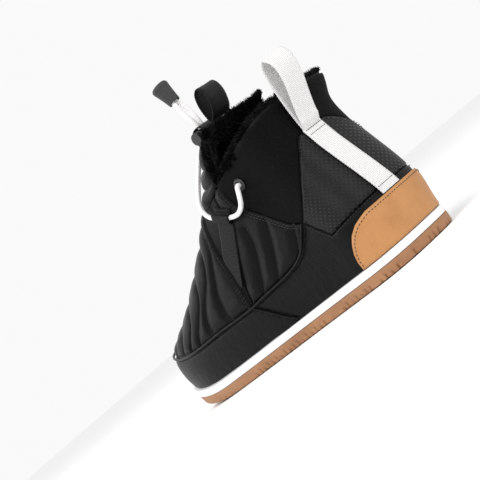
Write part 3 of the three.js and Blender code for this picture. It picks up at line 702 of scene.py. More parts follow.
def grain_leather():
    """Smooth tan leather with fine pores, faint creases and slightly uneven dye."""
    s = Surface("tan_leather", (0.42, 0.19, 0.062), 0.5, Specular_IOR_Level=0.45)
    place = s.place()
    pores = s.cells(place, 1500.0)
    grain = s.noise(place, 700.0, 4.0, 0.6)
    broad = s.noise(place, 45.0, 3.0, 0.6)
    tone = s.math("ADD", s.math("MULTIPLY", grain, 0.35), s.math("MULTIPLY", broad, 0.65))
    s.colour(s.ramp(tone, 0.3, 0.7), (0.36, 0.155, 0.045), (0.46, 0.215, 0.072))
    s.roughness(s.ramp(grain, 0.3, 0.7, 0.42, 0.6))
    s.bump((broad, 0.25), (pores, 0.06), (grain, 0.08))
    return s.material


def moulded(name, dark, light, roughness, scale=60.0, grain=500.0, depth=0.05, **sockets):
    """Moulded rubber or plastic: slight mottling, and a matte grain from the mould."""
    s = Surface(name, light, roughness, **sockets)
    place = s.place()
    mottle = s.noise(place, scale, 4.0, 0.6)
    fine_grain = s.noise(place, grain, 3.0, 0.6)
    s.colour(s.ramp(mottle, 0.3, 0.68), dark, light)
    s.roughness(s.ramp(fine_grain, 0.3, 0.7, roughness - 0.07, roughness + 0.08))
    s.bump((mottle, depth * 2), (fine_grain, depth))
    return s.material


leather = grain_leather()
leather_edge = moulded("painted_edge", (0.03, 0.013, 0.006), (0.06, 0.028, 0.012), 0.5)
gum = moulded("gum_rubber", (0.25, 0.112, 0.046), (0.35, 0.17, 0.076), 0.6, 55.0, 420.0, 0.08)
foam = moulded("white_foam", (0.68, 0.675, 0.67), (0.78, 0.777, 0.77), 0.5, 30.0, 600.0, 0.04)
plastic = moulded("dark_plastic", (0.008, 0.0078, 0.0076), (0.014, 0.0136, 0.0133), 0.42, 120.0, 900.0,
                  0.04)
bell_rubber = moulded("bell_rubber", (0.013, 0.0126, 0.0124), (0.02, 0.0195, 0.019), 0.55, 90.0, 800.0,
                      0.05)
steel = moulded("spring_steel", (0.42, 0.42, 0.43), (0.62, 0.62, 0.63), 0.3, 200.0, 900.0, 0.02,
                Metallic=1.0)
board = moulded("fibre_board", (0.16, 0.14, 0.11), (0.26, 0.23, 0.19), 0.85, 90.0, 700.0, 0.08)
black_thread = moulded("black_thread", (0.003, 0.003, 0.003), (0.011, 0.0107, 0.0107), 0.5, 800.0,
                       2500.0, 0.05)
brown_thread = moulded("dark_thread", (0.016, 0.009, 0.006), (0.035, 0.02, 0.013), 0.6, 800.0, 2500.0,
                       0.05)
white_thread = moulded("white_thread", (0.45, 0.44, 0.43), (0.7, 0.69, 0.68), 0.6, 800.0, 2500.0, 0.05)


def pile(name, dark, light):
    """Long soft pile, seen as single strands and as the cloth they grow from."""
    s = Surface(name, light, 0.55, Sheen_Weight=0.02, Sheen_Roughness=0.4, Specular_IOR_Level=0.12)
    place = s.place()
    tone = s.math("ADD", s.math("MULTIPLY", s.noise(place, 120.0), 0.6),
                  s.math("MULTIPLY", s.noise(place, 1300.0), 0.4))
    s.colour(s.ramp(tone, 0.35, 0.7), dark, light)
    s.bump((s.noise(place, 600.0), 0.6))
    return s.material


def braided_cord():
    """Round elastic cord in a white braided sleeve, with painted shade in the gaps between its strands."""
    s = Surface("white_braid", (0.85, 0.845, 0.835), 0.6, Sheen_Weight=0.2, Specular_IOR_Level=0.4)
    uv, u, v = s.cloth()
    around = s.math("MULTIPLY", u, 8 * 2 * math.pi)
    along = s.math("MULTIPLY", v, 2 * math.pi / 2.6)
    one = s.ramp(s.math("SINE", s.math("ADD", around, along)), -1, 1)
    two = s.ramp(s.math("SINE", s.math("SUBTRACT", around, along)), -1, 1)
    braid = s.math("MAXIMUM", one, two)
    # The colour darkens between the braid strands: painted shade in the gaps.
    s.colour(s.ramp(braid, 0.35, 0.85), (0.62, 0.61, 0.60), (0.87, 0.865, 0.855))
    s.bump((braid, 0.12), (s.noise(uv, 4.0), 0.03))
    return s.material


fur = pile("black_fur", (0.0009, 0.0009, 0.0009), (0.005, 0.0047, 0.0045))
braid = braided_cord()


# ------------------------------------------------------------------ camera and light
CAMERA_PLACE = Vector((-728.16, -825.19, 60.33)) * MM
VIEW_RIGHT = Vector((0.51004515, -0.56815573, -0.64579642))
VIEW_DOWN = Vector((-0.47963208, 0.43537432, -0.76184137))
VIEW_AHEAD = Vector((0.71400771, 0.69831817, -0.05044515))
camera = bpy.data.objects.new("camera", bpy.data.cameras.new("camera"))
bpy.context.scene.collection.objects.link(camera)
camera.data.sensor_width = 36
camera.data.lens = 36 * 1500 / 480
camera.data.clip_start, camera.data.clip_end = 0.05, 20
AIM = Vector((-14, -8, 84)) * MM
turned = Matrix((VIEW_RIGHT, -VIEW_DOWN, -VIEW_AHEAD)).transposed()
to_boot = VIEW_AHEAD.rotation_difference(AIM - CAMERA_PLACE).to_matrix() @ turned
camera.matrix_world = Matrix.Translation(CAMERA_PLACE) @ to_boot.to_4x4()
bpy.context.scene.camera = camera


# ------------------------------------------------------------------ cords
CORD_RADIUS = 1.75
LOCK_Z = 157.5
EYELET = (-72, 111.5)
LOCK_RADIUS = 4.8
CORD_END = LOCK_RADIUS + 0.1
TAIL_PIVOT = CORD_END + 0.3 + CORD_RADIUS
BELL_TILT = 0.16
BELL_BASE = np.array([0, LOCK_Y + 4.6, LOCK_Z + 31.5])
BELL_AXIS = np.array([0, math.sin(BELL_TILT), math.cos(BELL_TILT)])
side_route = [(*EYELET, 0.5), (*EYELET, 2.6), (-70.4, 106.5, 4.6), (-65, 100, 4.4), (-57.5, 97.2, 3.4),
              (-51.5, 97.8, 2.5), (-47, 99.2, 2.25), (-41, 101.8, 2.25), (-35, 105, 2.25),
              (-29.5, 108.6, 2.6)]
collar_route = [(0.68, 114, 3), (0.75, 121, 3), (0.81, 129.5, 3), (0.845, 137.5, 3), (0.87, 144, 3)]
lock_entry = [(-12.5, 6.5, -9.8), (-7, 2.2, -8), (-3.4, 0.3, -7.2), (-2, 0, -5), (-1.95, 0, 0),
              (-1.95, 0, CORD_END)]


def side_point(y, z, lift):
    return on_boot(way_at(y, z), z, lift)


def turn_point(turn, z, lift):
    return on_boot(np.interp(turn, turn_rows, way_rows), z, lift)


def centripetal(points, spacing):
    """Evenly spaced points on the centripetal Catmull-Rom curve that the CAD cords follow."""
    p = np.array(points, float)
    p = np.concatenate([2 * p[:1] - p[1:2], p, 2 * p[-1:] - p[-2:-1]])
    rows = []
    for a, b, c, d in zip(p[:-3], p[1:-2], p[2:-1], p[3:]):
        ta = 0
        tb = ta + np.linalg.norm(b - a) ** 0.5
        tc = tb + np.linalg.norm(c - b) ** 0.5
        td = tc + np.linalg.norm(d - c) ** 0.5
        t = np.linspace(tb, tc, 12, endpoint=False)[:, None]
        ab = (tb - t) / (tb - ta) * a + (t - ta) / (tb - ta) * b
        bc = (tc - t) / (tc - tb) * b + (t - tb) / (tc - tb) * c
        cd = (td - t) / (td - tc) * c + (t - tc) / (td - tc) * d
        abc = (tc - t) / (tc - ta) * ab + (t - ta) / (tc - ta) * bc
        bcd = (td - t) / (td - tb) * bc + (t - tb) / (td - tb) * cd
        rows.append((tc - t) / (tc - tb) * abc + (t - tb) / (tc - tb) * bcd)
    dense = np.concatenate(rows + [p[-2:-1]])
    travel = travelled(dense)
    marks = np.linspace(0, travel[-1], max(8, int(travel[-1] / spacing)))
    return np.stack([np.interp(marks, travel, dense[:, k]) for k in range(3)], -1)


def cord_piece(name, path, body):
    piece = new_mesh(name, *tube_mesh(path, CORD_RADIUS, 16), braid, body=body, outward=True)
    return piece


left_points = [side_point(*p) for p in side_route] + [turn_point(*p) for p in collar_route]
left_points += [foot_shape((x, LOCK_Y + dy, LOCK_Z + dz)) for x, dy, dz in lock_entry]
main_path = centripetal(left_points, 1.2)
for side, path in (("left", main_path), ("right", other_side(main_path))):
    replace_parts(cord_piece(f"elastic_cord_{side}", path, "boot"), f"bungee_{side}")


def along_bell(distance, x):
    return tuple(BELL_BASE + BELL_AXIS * distance + (x, 0, 0))


tail_points = [(-1.95, LOCK_Y, LOCK_Z + TAIL_PIVOT), (-2.7, LOCK_Y + 0.6, LOCK_Z + 13),
               (-3.4, LOCK_Y + 2, LOCK_Z + 20), (-2.7, LOCK_Y + 3.4, LOCK_Z + 26.5),
               along_bell(-1.5, -1.95), along_bell(4.4, -1.95)]
tail_path = centripetal([foot_shape(p) for p in tail_points], 1.0)


def lathe(profile, sides=48):
    """Round solid about Z from (radius, height) rows; the ends close on the axis."""
    points, uv = [], []
    for k in range(sides):
        angle = 2 * math.pi * k / sides
        for r, z in profile:
            points.append((r * math.cos(angle), r * math.sin(angle), z))
            uv.append((k / sides, z))
    faces = grid_faces(sides, len(profile), around=False, closed=True)
    return np.array(points), faces, np.array(uv)


bell_profile = smooth_line([(4.15, 4.8), (4.15, 2.4), (4.15, 0.45), (4.35, 0.08), (4.6, 0.05), (4.85, 0.4),
                            (5.2, 3.5), (5.85, 8), (6.5, 12), (6.9, 13.8), (6.98, 14.8), (6.75, 15.9),
                            (6.0, 16.8), (4.4, 17.2), (2, 17.45), (0.01, 17.5)], 4)
bell_profile = np.concatenate([[(0.01, 4.8)], bell_profile])
points, faces, uv = lathe(bell_profile)
turn_to_axis = np.array(Matrix.Rotation(-BELL_TILT, 3, "X"))
points = foot_shape(points @ turn_to_axis.T + BELL_BASE)
bell = new_mesh("cord_end_bell", points, faces, uv, bell_rubber, ["cord_bell"], "cord_tail", weld=1e-6)
for side, path in (("left", tail_path), ("right", other_side(tail_path))):
    tail = cord_piece(f"cord_tail_{side}", path, "cord_tail")
    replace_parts(tail, f"tail_strand_{side}")

# ------------------------------------------------------------------ upper panels
MIDDLE_GAP = 0.15


def shrink(loop, gap=0.12):
    """Pulls a closed loop in a little, which leaves the seam gap."""
    x, y = loop.T
    if np.sum(x * np.roll(y, -1) - y * np.roll(x, -1)) < 0:
        loop = loop[::-1]
    along = unit(np.roll(loop, -1, 0) - np.roll(loop, 1, 0))
    return loop + np.stack([-along[:, 1], along[:, 0]], -1) * gap


def whole(line, across=None):
    """Closed loop of a panel that crosses the heel or toe middle, or of one on the left side alone."""
    loop = resample(across(line) if across else line, 1.5)
    if across is None:
        loop[:, 0] = np.maximum(loop[:, 0], MIDDLE_GAP)
    if np.linalg.norm(loop[0] - loop[-1]) < 1e-6:
        loop = loop[:-1]
    if across is None:
        loop = loop[np.linalg.norm(loop - np.roll(loop, 1, 0), axis=1) > 1e-3]
    return shrink(loop)


def closed_left(points):
    return whole(side_line(points + points[:1]))


toe_rand_line = side_line([(FAR, UPPER_BOTTOM), *WAIST_SEAM[::-1], SEAM_JUNCTION, (FAR, 42.5)])
sewn_panel("toe_guard", whole(toe_rand_line, across_toe), guard_cloth, stands_for="toe_rand",
           spacing=2.0, edge_drop=0.9, wrinkle=0.12, seed=4)
guard_points = [(-FAR, UPPER_BOTTOM), (-FAR, 49), GUARD_REAR, GUARD_CORNER, GORE_CORNER, *PIPING,
                SEAM_JUNCTION, *WAIST_SEAM]
both_sides("rear_guard", closed_left(guard_points), guard_cloth, spacing=2.0, edge_drop=0.9,
           wrinkle=0.12, seed=7)
heel_line = side_line([(-FAR, 110), *HEEL_SEAM, GORE_CORNER, GUARD_CORNER, GUARD_REAR, (-FAR, 49)])
sewn_panel("heel_panel_skin", whole(heel_line, across_heel), embossed, stands_for="heel_panel",
           spacing=1.8, edge_drop=0.9, wrinkle=0.15, pucker=0.15, seed=9)
gore_points = [(-FAR, 136.5), GORE_REAR_TOP, GORE_FRONT_TOP, *GORE_LOWER, GORE_CORNER,
               *HEEL_SEAM[::-1], (-FAR, 110)]
both_sides("gore", closed_left(gore_points), elastic, spacing=2.0, base=-0.7, thickness=1.8,
           edge_drop=0.5, edge_round=1.2, wrinkle=0.2, pucker=0.2, seed=11)

quarter_seams = [side_line(smooth_line(p, 6)) for p in (
    [(-87, 66), (-81.5, 57), (-75.5, 48.5)], [(-70, 82.5), (-58, 62), (-50.5, 51), (-45, 43.5)],
    [(-49.5, 87), (-45.5, 72), (-36, 57), (-26, 42.5)])]
quarter_points = [GORE_CORNER, *GORE_LOWER[::-1], GORE_FRONT_TOP, COLLAR_REAR, *QUARTER_FRONT,
                  SEAM_JUNCTION, *PIPING[::-1]]
quarters = both_sides("quarter", closed_left(quarter_points), nylon, seams=quarter_seams, spacing=1.5,
                      puff=2.6, channel=9, base=-1.7, thickness=1.0, seam_drop=0.35, pucker=0.22,
                      wrinkle=0.15, seed=13)
gusset_points = [COLLAR_REAR, *VAMP_REAR[::-1], SEAM_JUNCTION, *QUARTER_FRONT[::-1]]
both_sides("gusset", closed_left(gusset_points), gusset_cloth, spacing=1.8, base=-1.0, thickness=1.4,
           edge_drop=0.5, wrinkle=0.9, pucker=0.6, seed=15)


def turn_line(points):
    """Smooth line through (turn, height) points, as (way, height)."""
    line = smooth_line(points, 8)
    return np.stack([np.interp(line[:, 0], turn_rows, way_rows), line[:, 1]], -1)


vamp_fans = [[(0.478, 42), (0.510, 60), (0.548, 77), (0.620, 92), (0.72, 103), (0.86, 112), (1, 116)],
             [(0.519, 41.5), (0.555, 60), (0.597, 78), (0.67, 90), (0.78, 98), (0.89, 101.5), (1, 103)],
             [(0.566, 42), (0.590, 57), (0.622, 70), (0.70, 80), (0.80, 86), (0.90, 89), (1, 90)],
             [(0.615, 42.5), (0.640, 54), (0.675, 63), (0.74, 70), (0.83, 74.5), (0.92, 76.5), (1, 77)],
             [(0.668, 42.5), (0.695, 50.5), (0.74, 57), (0.80, 61), (0.87, 63.3), (0.94, 64.3), (1, 64.5)],
             [(0.735, 42.5), (0.765, 47.5), (0.81, 51.5), (0.87, 53.6), (0.94, 54.6), (1, 54.8)]]
vamp_seams = [across_toe(turn_line(points)) for points in vamp_fans]
vamp_line = side_line([(FAR, 42.5), SEAM_JUNCTION, *VAMP_REAR, *COLLAR_FRONT, (FAR, 150)])
vamp = sewn_panel("vamp_quilting", whole(vamp_line, across_toe), nylon, seams=vamp_seams,
                  stands_for="vamp", spacing=1.6, row_share=0.6, puff=3.0, channel=9.5, base=-1.8,
                  thickness=0.9, seam_drop=0.35, pucker=0.25, wrinkle=0.15, seed=17)
collar_line = side_line([(FAR, 150), *COLLAR_FRONT[::-1], VAMP_REAR[3], COLLAR_REAR, GORE_FRONT_TOP,
                         *COLLAR_EDGE, (FAR, COLLAR_TOP)])
collar_seams = [across_toe(side_line(smooth_line(p, 6))) for p in (
    [(-50, 127), (-42, 126), (-28, 127), (-12, 130), (6, 134)],
    [(-53.5, 138), (-46, 137), (-36, 138.5), (-20, 142.5), (0, 148)])]
front_collar = sewn_panel("collar_padding", whole(collar_line, across_toe), nylon, seams=collar_seams,
                          stands_for="front_collar", spacing=1.5, row_share=0.7, puff=2.4, channel=8,
                          base=-1.6, thickness=1.1, seam_drop=0.35, pucker=0.2, wrinkle=0.15, seed=19)

# Leather counter over the heel, with its painted edge.
counter_line = side_line(COUNTER_EDGE)
counter_line = np.concatenate([counter_line, [(0.0, UPPER_BOTTOM)]])
counter = sewn_panel("counter_leather", whole(counter_line, across_heel), leather,
                     stands_for="heel_counter", spacing=1.7, base=2.4, thickness=2.1, edge_drop=0.5,
                     edge_round=0.9, wrinkle=0.12, pucker=0.0, seed=21)
counter.data.materials.append(leather_edge)
centres = np.array([p.center for p in counter.data.polygons]) / MM
rim_line = line_points(resample(counter_line, 0.6), 1.35)
straight, _ = nearest(centres, np.concatenate([rim_line, other_side(rim_line)]))
for polygon, distance in zip(counter.data.polygons, straight):
    if len(polygon.vertices) == 4 or distance < 0.4:
        polygon.material_index = 1

# ------------------------------------------------------------------ lining with its pile
PANEL, LINING = 2.9, 5.2
LINING_BOTTOM, LINING_ROWS = 16.4, 34
top_line = np.concatenate([[(0, 138)], side_line([(-124, 138), (-53, 124), (-61.5, 135), (-67, 147),
                                                  (-68.6, 156)], 2.0)])
top_line = top_line[np.argsort(top_line[:, 0])]


def lining_top(way):
    folded = np.abs((way + TOE_WAY) % (2 * TOE_WAY) - TOE_WAY)
    return np.interp(folded, np.append(top_line[:, 0], TOE_WAY), np.append(top_line[:, 1], 157.5))


columns = np.unique(np.concatenate([np.arange(0, TOE_WAY, 3.0), top_line[:, 0], [TOE_WAY]]))
columns = np.concatenate([columns, 2 * TOE_WAY - columns[1:-1][::-1]])
rise = np.linspace(0, 1, LINING_ROWS)
profile_points, profile_uv = [], []
for way in columns:
    top = lining_top(way)
    heights = LINING_BOTTOM + (top - LINING_BOTTOM) * rise
    outer = on_boot(way, heights, -PANEL - 0.1)
    inner = on_boot(way, heights[::-1], -PANEL - LINING)
    middle = on_boot(way, top + 1.6, -PANEL - LINING / 2)
    profile_points.append(np.concatenate([outer, [middle], inner]))
    profile_uv += [(way, i) for i in range(2 * LINING_ROWS + 1)]
faces = grid_faces(len(columns), len(profile_points[0]), closed=True)
lining = new_mesh("fur_lining", np.concatenate(profile_points), faces, profile_uv, fur,
                  ["lining_left", "lining_right"], outward=True)

random = np.random.default_rng(5)


def tufts(name, roots, normals, lengths, clump, seed):
    """Curved tapering strands on root points, leaning together in clumps."""
    points, faces, uv = [], [], []
    lean = np.stack([noise_at(roots, clump, seed + k * 9.7) for k in range(3)], -1) * 1.5
    lean += random.normal(0, 0.28, roots.shape)
    for root, normal, length, tilt in zip(roots, normals, lengths, lean):
        direction = unit(normal + tilt - normal * (tilt @ normal) * 0.6)
        bend = unit(direction + tilt * 0.9 + (0, 0, -0.12))
        side = unit(np.cross(direction, random.normal(0, 1, 3)))
        start = len(points)
        for share, width in ((0.0, 0.32), (0.45, 0.26), (0.8, 0.15)):
            centre = root + direction * length * share * (1 - 0.5 * share)
            centre = centre + bend * length * share**2 * 0.5
            points += [centre - side * width, centre + side * width]
            uv += [(0, share), (1, share)]
        points.append(root + direction * length * 0.5 + bend * length * 0.5)
        uv.append((0.5, 1))
        faces += [(start, start + 1, start + 3, start + 2), (start + 2, start + 3, start + 5, start + 4),
                  (start + 4, start + 5, start + 6)]
    new_mesh(name, points, faces, uv, fur)


def scatter(low, high, distance, number):
    """Root points on the boot between two heights, evenly by area, with their normals."""
    way = random.uniform(0, 2 * TOE_WAY, number * 3)
    top = lining_top(way)
    height = random.uniform(0, 1, number * 3) * (np.minimum(top, high) - low) + low
    size = np.linalg.norm(boot_point(way + 0.5, height) - boot_point(way - 0.5, height), axis=-1)
    keep = (random.uniform(0, 1, number * 3) < size) & (top > low)
    way, height = way[keep][:number], height[keep][:number]
    return on_boot(way, height, distance), boot_normal(way, height)


inner_roots, inner_normals = scatter(70, 158, -PANEL - LINING + 0.1, 14000)
tufts("fur_pile_inside", inner_roots, unit(-inner_normals + (0, 0, 0.7)),
      random.uniform(5, 8, len(inner_roots)), 5.0, 2.0)
rim_way = random.uniform(0, 2 * TOE_WAY, 26000)
rim_size = np.linalg.norm(boot_point(rim_way + 0.5, 130) - boot_point(rim_way - 0.5, 130), axis=-1)
rim_way = rim_way[random.uniform(0, 1, len(rim_way)) < rim_size * 1.2]
rim_lift = random.uniform(0, 1, len(rim_way))
rim_roots = on_boot(rim_way, lining_top(rim_way) + 0.3 + 1.2 * np.sin(rim_lift * math.pi),
                    -PANEL - 0.3 - (LINING - 0.5) * rim_lift)
rim_out = boot_normal(rim_way, lining_top(rim_way))
rim_normals = unit(np.array([(0, 0, 1.0)]) + rim_out * (0.25 - 0.8 * rim_lift)[:, None])
tufts("fur_pile_rim", rim_roots, rim_normals, random.uniform(3.0, 5.2, len(rim_roots)), 5.0, 5.0)
strip_way = random.uniform(0, 2 * TOE_WAY, 40000)
strip_top = lining_top(strip_way)
strip_height = strip_top - random.uniform(0, 26, len(strip_way))
strip_y = boot_point(strip_way, strip_height)[:, 1] - SHIFT_Y
edge_y, edge_z = np.array([GORE_FRONT_TOP, *COLLAR_EDGE]).T
bare = (strip_y < np.interp(strip_height, edge_z, edge_y) + 1) & (strip_height > GORE_FRONT_TOP[1] + 1)
bare &= strip_y > -85
strip_roots = on_boot(strip_way[bare], strip_height[bare], -PANEL)
strip_out = boot_normal(strip_way[bare], strip_height[bare])
tufts("fur_pile_edge", strip_roots, unit(strip_out * 0.6 + (0, -0.5, 0.6)),
      random.uniform(2.6, 4.4, len(strip_roots)), 5.0, 8.0)

# ------------------------------------------------------------------ seams
pipe_ways = [0.994, 0.96, 0.92, 0.87, 0.81, 0.75, 0.69, 0.63, 0.57, 0.51]
pipe_line = [turn_point(t, 42.2, 1.15) for t in pipe_ways]
pipe_line += [side_point(y, z, 1.15) for y, z in [SEAM_JUNCTION, *PIPING[::-1], GORE_CORNER]]
pipe_path = centripetal(pipe_line, 1.3)


def seam_tubes(name, path, radius, sides, material, node=None):
    """A round seam on the left side and its mirror image on the right."""
    for side, route in (("left", path), ("right", other_side(path))):
        new_mesh(f"{name}_{side}", *tube_mesh(route, radius, sides), material,
                 [f"{node}_{side}"] if node else (), outward=True)


seam_tubes("corded_seam", pipe_path, 0.95, 12, nylon, "piping")


def seam_stitches(name, lines, thread, distance, **options):
    """Stitches along (way, height) lines on the left side and their mirror images."""
    shown = [line_points(resample(line, 0.8), distance) for line in lines]
    shown += [other_side(points) for points in shown]
    stitching(name, shown, thread, **options)


quilt_lines = [line_points(resample(line, 1), -2.0) for line in vamp_seams]
right_seams = [mirror_line(line) for line in quarter_seams]
quilt_lines += [line_points(line, -2.0) for line in quarter_seams + right_seams + collar_seams]
stitching("quilting_stitches", quilt_lines, black_thread, pitch=2.8, length=2.0, radius=0.26)
gore_edge = side_line([GORE_FRONT_TOP, *GORE_LOWER, GORE_CORNER])
heel_edge = side_line([*HEEL_SEAM, GORE_CORNER])
guard_edge = side_line([GORE_CORNER, GUARD_CORNER, (-130, 47.5), GUARD_REAR])
vamp_edge = side_line([SEAM_JUNCTION, *VAMP_REAR])
seam_stitches("edge_stitches", [
    offset_line(gore_edge, 1.6), offset_line(gore_edge, 3.2), offset_line(heel_edge, -1.7),
    offset_line(guard_edge, 1.4), offset_line(vamp_edge, -1.8), offset_line(vamp_edge, -3.6)],
    black_thread, 0.35, pitch=2.6, length=1.8, radius=0.24)
counter_stitch = offset_line(side_line(COUNTER_EDGE[:-1]), -2.4)
counter_stitch = counter_stitch[counter_stitch[:, 1] > UPPER_BOTTOM + 0.6]
seam_stitches("counter_stitches", [counter_stitch], brown_thread, 2.5, pitch=2.7, length=1.65,
              radius=0.3)
# Turned seam down the waist to the sole, on both sides.
waist_line = [SEAM_JUNCTION, (-21, 31), (-31, 21), (-38, 15.5)]
waist_path = centripetal([side_point(y, z, 0.7) for y, z in waist_line], 1.2)
seam_tubes("waist_seam", waist_path, 0.75, 10, guard_cloth)

# ------------------------------------------------------------------ webbing
STRAP_WIDTH, WEBBING = 20.0, 1.3
strap_height = np.arange(43.9, 110.4, 1.0)
strap_path = on_boot(0.0, strap_height, 0.95)
loop_points = [(-128.3, 113), (-130.2, 119), (-135, 129), (-140.5, 139.5), (-144, 150.5), (-143.2, 158.5),
               (-138, 163), (-132.6, 159.5), (-129.8, 149), (-128, 137), (-126.9, 124), (-126.4, 111.4)]
loop_path = foot_shape(smooth_line([(0, y, z) for y, z in loop_points], 7))
heel_path = np.concatenate([strap_path, loop_path])
heel_path = centripetal(heel_path[::3], 0.6)
start_turn = np.clip((heel_path[:, 2] - 112) / 50, 0, 1)
far_side = np.arange(len(heel_path)) > np.argmax(heel_path[:, 2])
twist = 0.22 * start_turn**2
sideways = np.where(far_side, 1, -1) * np.sin(twist)
across = np.stack([np.cos(twist), sideways * 0.6, np.sin(twist) * 0.35], -1)
heel_webbing = new_mesh("heel_webbing", *band(heel_path, across, STRAP_WIDTH, WEBBING, wave=0.16),
                        white_webbing, ["heel_strap", "heel_pull_loop"], None, outward=True)
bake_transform(heel_webbing)


def strap_line(x, low, high, distance):
    """Line up the heel strap at a sideways distance from its middle."""
    return on_boot(0.0, np.arange(low, high, 1.0), distance) + (x, 0, 0)


def cross_line(height, half, distance):
    """Line across the heel strap, half its length to each side."""
    x = np.linspace(-half, half, 21)
    return on_boot(0.0, height, distance) + np.stack([x, 0 * x, 0 * x], -1)


stitching("strap_stitches", [strap_line(-8.7, 46, 109, 1.62), strap_line(8.7, 46, 109, 1.62)],
          white_thread, pitch=2.6, length=1.7, radius=0.2)
stitching("strap_bar_stitches", [cross_line(108.6, 9.3, 1.68), cross_line(104.6, 9.3, 1.68),
                                 cross_line(49.2, 9.8, 1.7)], black_thread, pitch=2.0, length=1.45,
          radius=0.26)

loop_line = [(-63, 158.3), (-61.9, 163.7), (-62.4, 172.1), (-65.7, 179.4), (-71.2, 181.8), (-75, 178.1),
             (-74.7, 170.8), (-70.3, 162.8), (-65.2, 158.7)]
front_path = foot_shape(smooth_line([(0, y, z) for y, z in loop_line], 8))
share = np.linspace(0, 1, len(front_path))
twist = 0.16 * np.sin(share * math.pi)
across = np.stack([np.cos(twist), np.sin(twist), 0 * twist], -1)
new_mesh("front_loop_webbing", *band(front_path, across, STRAP_WIDTH, WEBBING, wave=0.14), black_webbing,
         ["front_pull_loop"], "front_loop", outward=True)

keeper_points = [(-15.2, -1.9), (-11, -1.2), (-8.2, 3.2), (-4, 5.9), (1.5, 5.9), (5.4, 3), (6.4, -2),
                 (6.4, -7.5), (6.2, -11.8)]
keeper_path = foot_shape(smooth_line([(0, LOCK_Y + y, LOCK_Z + z) for y, z in keeper_points], 6))
KEEPER_HALF, SLOT_HALF = 8.0, 4.6
slot = np.abs(keeper_path[:, 1] - SHIFT_Y - LOCK_Y) < 2.6
slot &= keeper_path[:, 2] > LOCK_Z + 3
points, faces, uv = band(keeper_path, [(1, 0, 0)] * len(keeper_path), 2 * KEEPER_HALF, 1.0, columns=15,
                         wave=0.1)
row_size = len(points) // len(keeper_path)
blocked = np.repeat(slot, row_size) & (np.abs(points[:, 0] - SHIFT_X) < SLOT_HALF)
faces = [f for f in faces if not (len(f) == 4 and all(blocked[i] for i in f))]
new_mesh("lock_webbing", points, faces, uv, black_webbing, ["lock_keeper"])

tunnel_rows = [(-51, 104, -37.5, 112, 0), (-49.5, 102, -36.5, 110, 0), (-48.5, 100, -35.5, 108, 1),
               (-47.5, 98, -34.5, 106, 1), (-46.5, 96, -33.5, 104, 1), (-45, 94.5, -32, 102, 0),
               (-43.5, 92, -30.5, 99.5, 0), (-38, 85, -24, 90.5, 0), (-31, 76, -16.5, 80.5, 0),
               (-24.5, 68, -15.5, 71, 0), (-18.5, 60.5, -14.5, 62, 0), (-15.5, 56.5, -14, 57, 0)]
rows = smooth_line(tunnel_rows, 6)
lift = np.clip(rows[:, 4], 0, 1) * (2 * CORD_RADIUS + 0.6)
COLUMNS = 13
columns_across = np.linspace(0, 1, COLUMNS)
outer, inner, uv = [], [], []
travel = 0.0
for i, row in enumerate(rows):
    if i:
        travel += np.hypot(*(row[:2] - rows[i - 1][:2]))
    y = row[0] + (row[2] - row[0]) * columns_across
    z = row[1] + (row[3] - row[1]) * columns_across
    way = np.array([way_at(a, b) for a, b in zip(y, z)])
    rounding = 0.25 * (1 - np.abs(2 * columns_across - 1) ** 6)
    outer.append(on_boot(way, z, 0.3 + lift[i] + WEBBING - 0.25 + rounding))
    inner.append(on_boot(way, z, 0.3 + lift[i]))
    width = np.hypot(row[2] - row[0], row[3] - row[1])
    uv += [((c - 0.5) * width, travel) for c in columns_across]
outer, inner = np.concatenate(outer), np.concatenate(inner)
faces = grid_faces(len(rows), COLUMNS, around=False)
rim = [(b, a, a + len(outer), b + len(outer)) for a, b in rim_edges(faces)]
faces += [tuple(i + len(outer) for i in f[::-1]) for f in faces] + rim
left = np.concatenate([outer, inner])
for side, points in (("left", left), ("right", other_side(left))):
    new_mesh(f"side_webbing_{side}", points, faces, uv + uv, black_webbing, [f"keeper_strap_{side}"],
             outward=True)
TUNNEL_END = 30
tunnel_edges = [outer.reshape(len(rows), COLUMNS, 3)[TUNNEL_END:-3, k] for k in (1, COLUMNS - 2)]
stitching("webbing_stitches", tunnel_edges + [other_side(line) for line in tunnel_edges],
          black_thread, pitch=2.4, length=1.6, radius=0.2)


# ------------------------------------------------------------------ sole
def footprint(ledge):
    """Outline of the sole before the toe spring, a ledge outside the upper, left side and right side."""
    ways = np.arange(0, TOE_WAY, 1.0)
    folded = np.interp(ways, way_rows, turn_rows)
    x, y = half_section(folded, UPPER_BOTTOM)
    flat = np.stack([-x, y], -1)
    ahead = unit(np.gradient(flat, axis=0))
    ahead[0] = (-1, 0)
    out = np.stack([-ahead[:, 1], ahead[:, 0]], -1)
    left = flat + out * ledge
    left[0, 0] = 0
    right = (left[1:] * (-1, 1))[::-1]
    return np.concatenate([left, right])


def sole_ring(ledge, z):
    """Points round the sole at a height, a ledge outside the upper; each may differ round it."""
    flat = footprint(0)
    ledge = np.broadcast_to(np.asarray(ledge, float), len(flat))
    z = np.broadcast_to(np.asarray(z, float), len(flat))
    return np.concatenate([flat + (footprint(1.0) - flat) * ledge[:, None], z[:, None]], 1)


